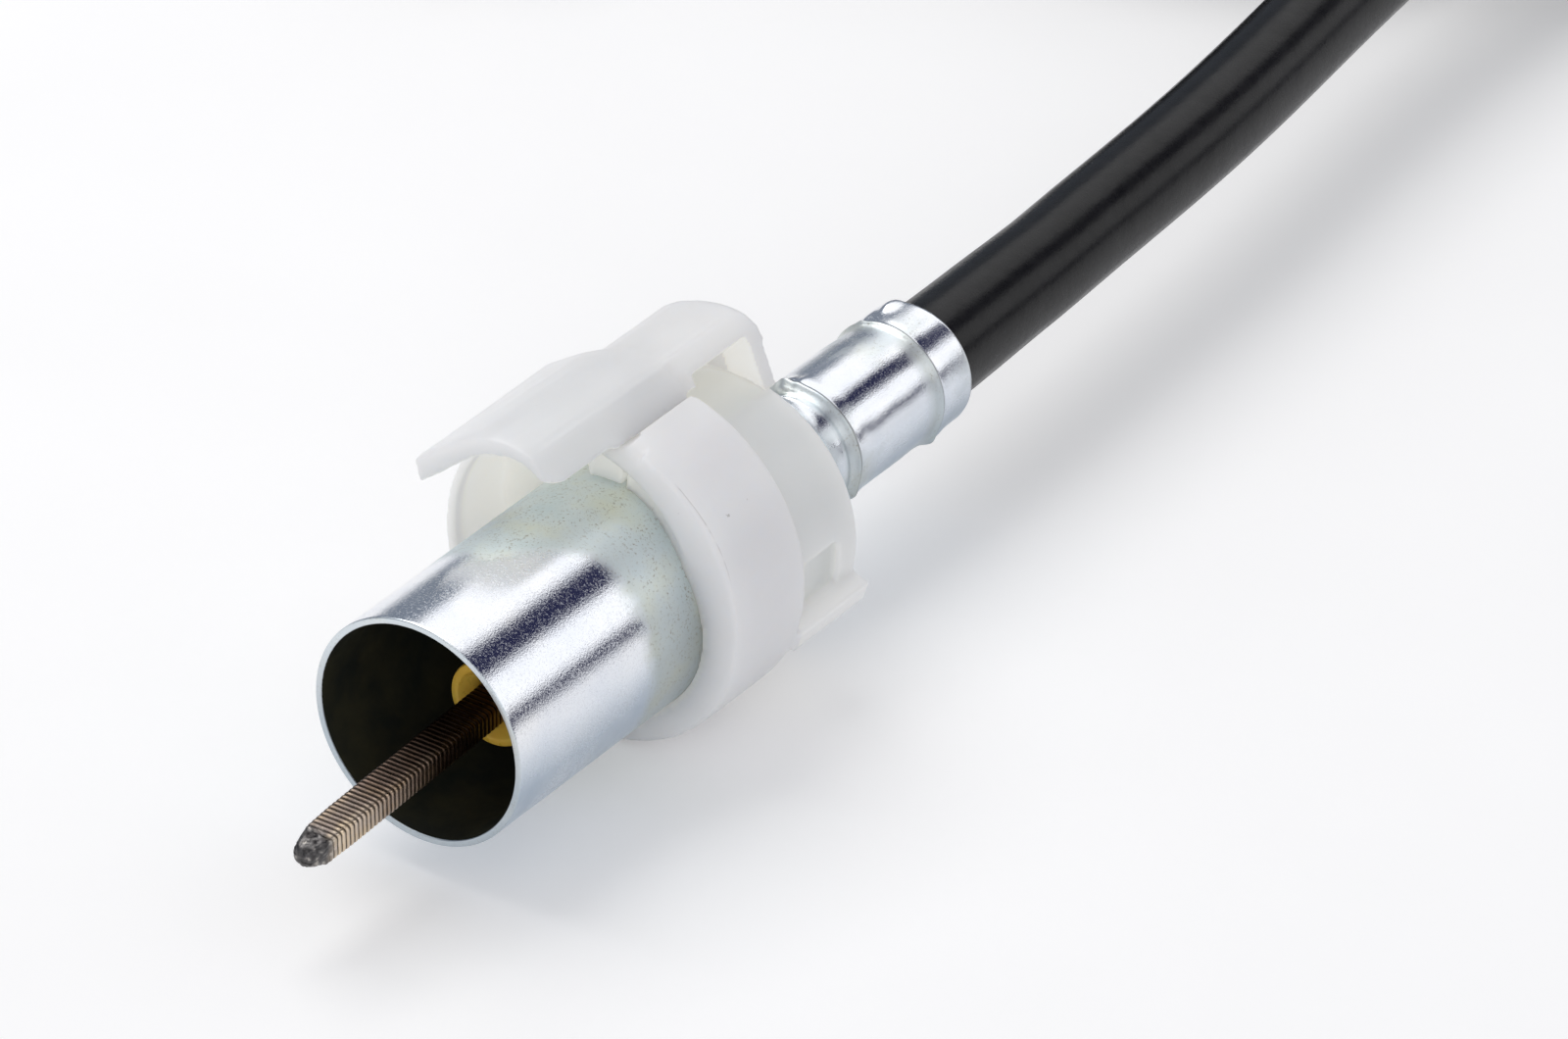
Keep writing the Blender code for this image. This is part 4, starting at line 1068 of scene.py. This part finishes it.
LAMP_FROM = Vector((-380.0, 120.0, 700.0))
LAMP_SIDE = 600.0
LAMP_WATTS = 2.6
CARD_FROM = Vector((360.0, -640.0, 300.0))
CARD_SIDE = 400.0
CARD_WATTS = 0.95
ROOM_LEVEL = 0.53
BENCH_HALF = 3000.0
BENCH_GLOW = 0.195

bm = bmesh.new()
bmesh.ops.create_grid(bm, x_segments=8, y_segments=8, size=BENCH_HALF * MM)
mesh = bpy.data.meshes.new("bench")
bm.to_mesh(mesh)
bm.free()
bench = bpy.data.objects.new("bench", mesh)
bpy.context.scene.collection.objects.link(bench)
bench_white, tree, shader = new_finish("bench_white", (0.9, 0.9, 0.9), 0.9)
drive(tree, shader, "Base Color", grain(tree, 40, 3),
      (0.3, (0.895, 0.895, 0.9)), (0.7, (0.91, 0.91, 0.915)))
shader.inputs["Specular IOR Level"].default_value = 0.0
path = tree.nodes.new("ShaderNodeLightPath")
seen = maths(tree, "MAXIMUM", path.outputs["Is Camera Ray"], path.outputs["Is Glossy Ray"])
seen = maths(tree, "MAXIMUM", seen, path.outputs["Is Transmission Ray"])
glow = tree.nodes.new("ShaderNodeEmission")
glow.inputs["Color"].default_value = (1, 1, 1, 1)
tree.links.new(maths(tree, "MULTIPLY", seen, BENCH_GLOW), glow.inputs["Strength"])
both = tree.nodes.new("ShaderNodeAddShader")
tree.links.new(shader.outputs[0], both.inputs[0])
tree.links.new(glow.outputs[0], both.inputs[1])
tree.links.new(both.outputs[0], tree.nodes["Material Output"].inputs["Surface"])
bench.data.materials.append(bench_white)

for name, away, side, watts, mirrored in (
    ("soft_lamp", LAMP_FROM, LAMP_SIDE, LAMP_WATTS, True),
    ("white_card", CARD_FROM, CARD_SIDE, CARD_WATTS, False),
):
    lamp = bpy.data.objects.new(name, bpy.data.lights.new(name, "AREA"))
    lamp.data.shape = "SQUARE"
    lamp.data.size = side * MM
    lamp.data.energy = watts
    lamp.data.color = (1.0, 0.985, 0.96)
    lamp.location = (MOUTH + away) * MM
    lamp.rotation_euler = (-away).to_track_quat("-Z", "Y").to_euler()
    lamp.visible_glossy = mirrored
    bpy.context.scene.collection.objects.link(lamp)

world = bpy.data.worlds.new("white_room")
bpy.context.scene.world = world
world.use_nodes = True
tree = world.node_tree
room = tree.nodes["Background"]
room.inputs["Color"].default_value = (0.95, 0.96, 1.0, 1.0)
room.inputs["Strength"].default_value = ROOM_LEVEL

# The softboxes lie in bands round the sleeve's axis, given by the share of a turn.
across, _, up = split_place(tree, "Generated")
turn = maths(tree, "MULTIPLY_ADD", maths(tree, "ARCTAN2", up, across), 1 / math.tau, 0.5)
white, navy, grey = (1.2, 1.2, 1.21), (0.026, 0.028, 0.07), (0.22, 0.25, 0.3)
bands = ramp(
    tree, turn, (0.0, white), (0.48, white), (0.484, navy), (0.533, navy), (0.537, white),
    (0.636, white), (0.639, navy), (0.718, navy), (0.721, white), (0.868, white), (0.874, grey),
    (0.985, grey),
)
boxes = tree.nodes.new("ShaderNodeBackground")
tree.links.new(bands, boxes.inputs["Color"])
backdrop = tree.nodes.new("ShaderNodeBackground")
backdrop.inputs["Color"].default_value = (1, 1, 1, 1)
path = tree.nodes.new("ShaderNodeLightPath")
seen = maths(tree, "MAXIMUM", path.outputs["Is Camera Ray"], path.outputs["Is Transmission Ray"])
surround = room.outputs[0]
for share, other in ((path.outputs["Is Glossy Ray"], boxes), (seen, backdrop)):
    chosen = tree.nodes.new("ShaderNodeMixShader")
    tree.links.new(share, chosen.inputs[0])
    tree.links.new(surround, chosen.inputs[1])
    tree.links.new(other.outputs[0], chosen.inputs[2])
    surround = chosen.outputs[0]
tree.links.new(surround, tree.nodes["World Output"].inputs["Surface"])
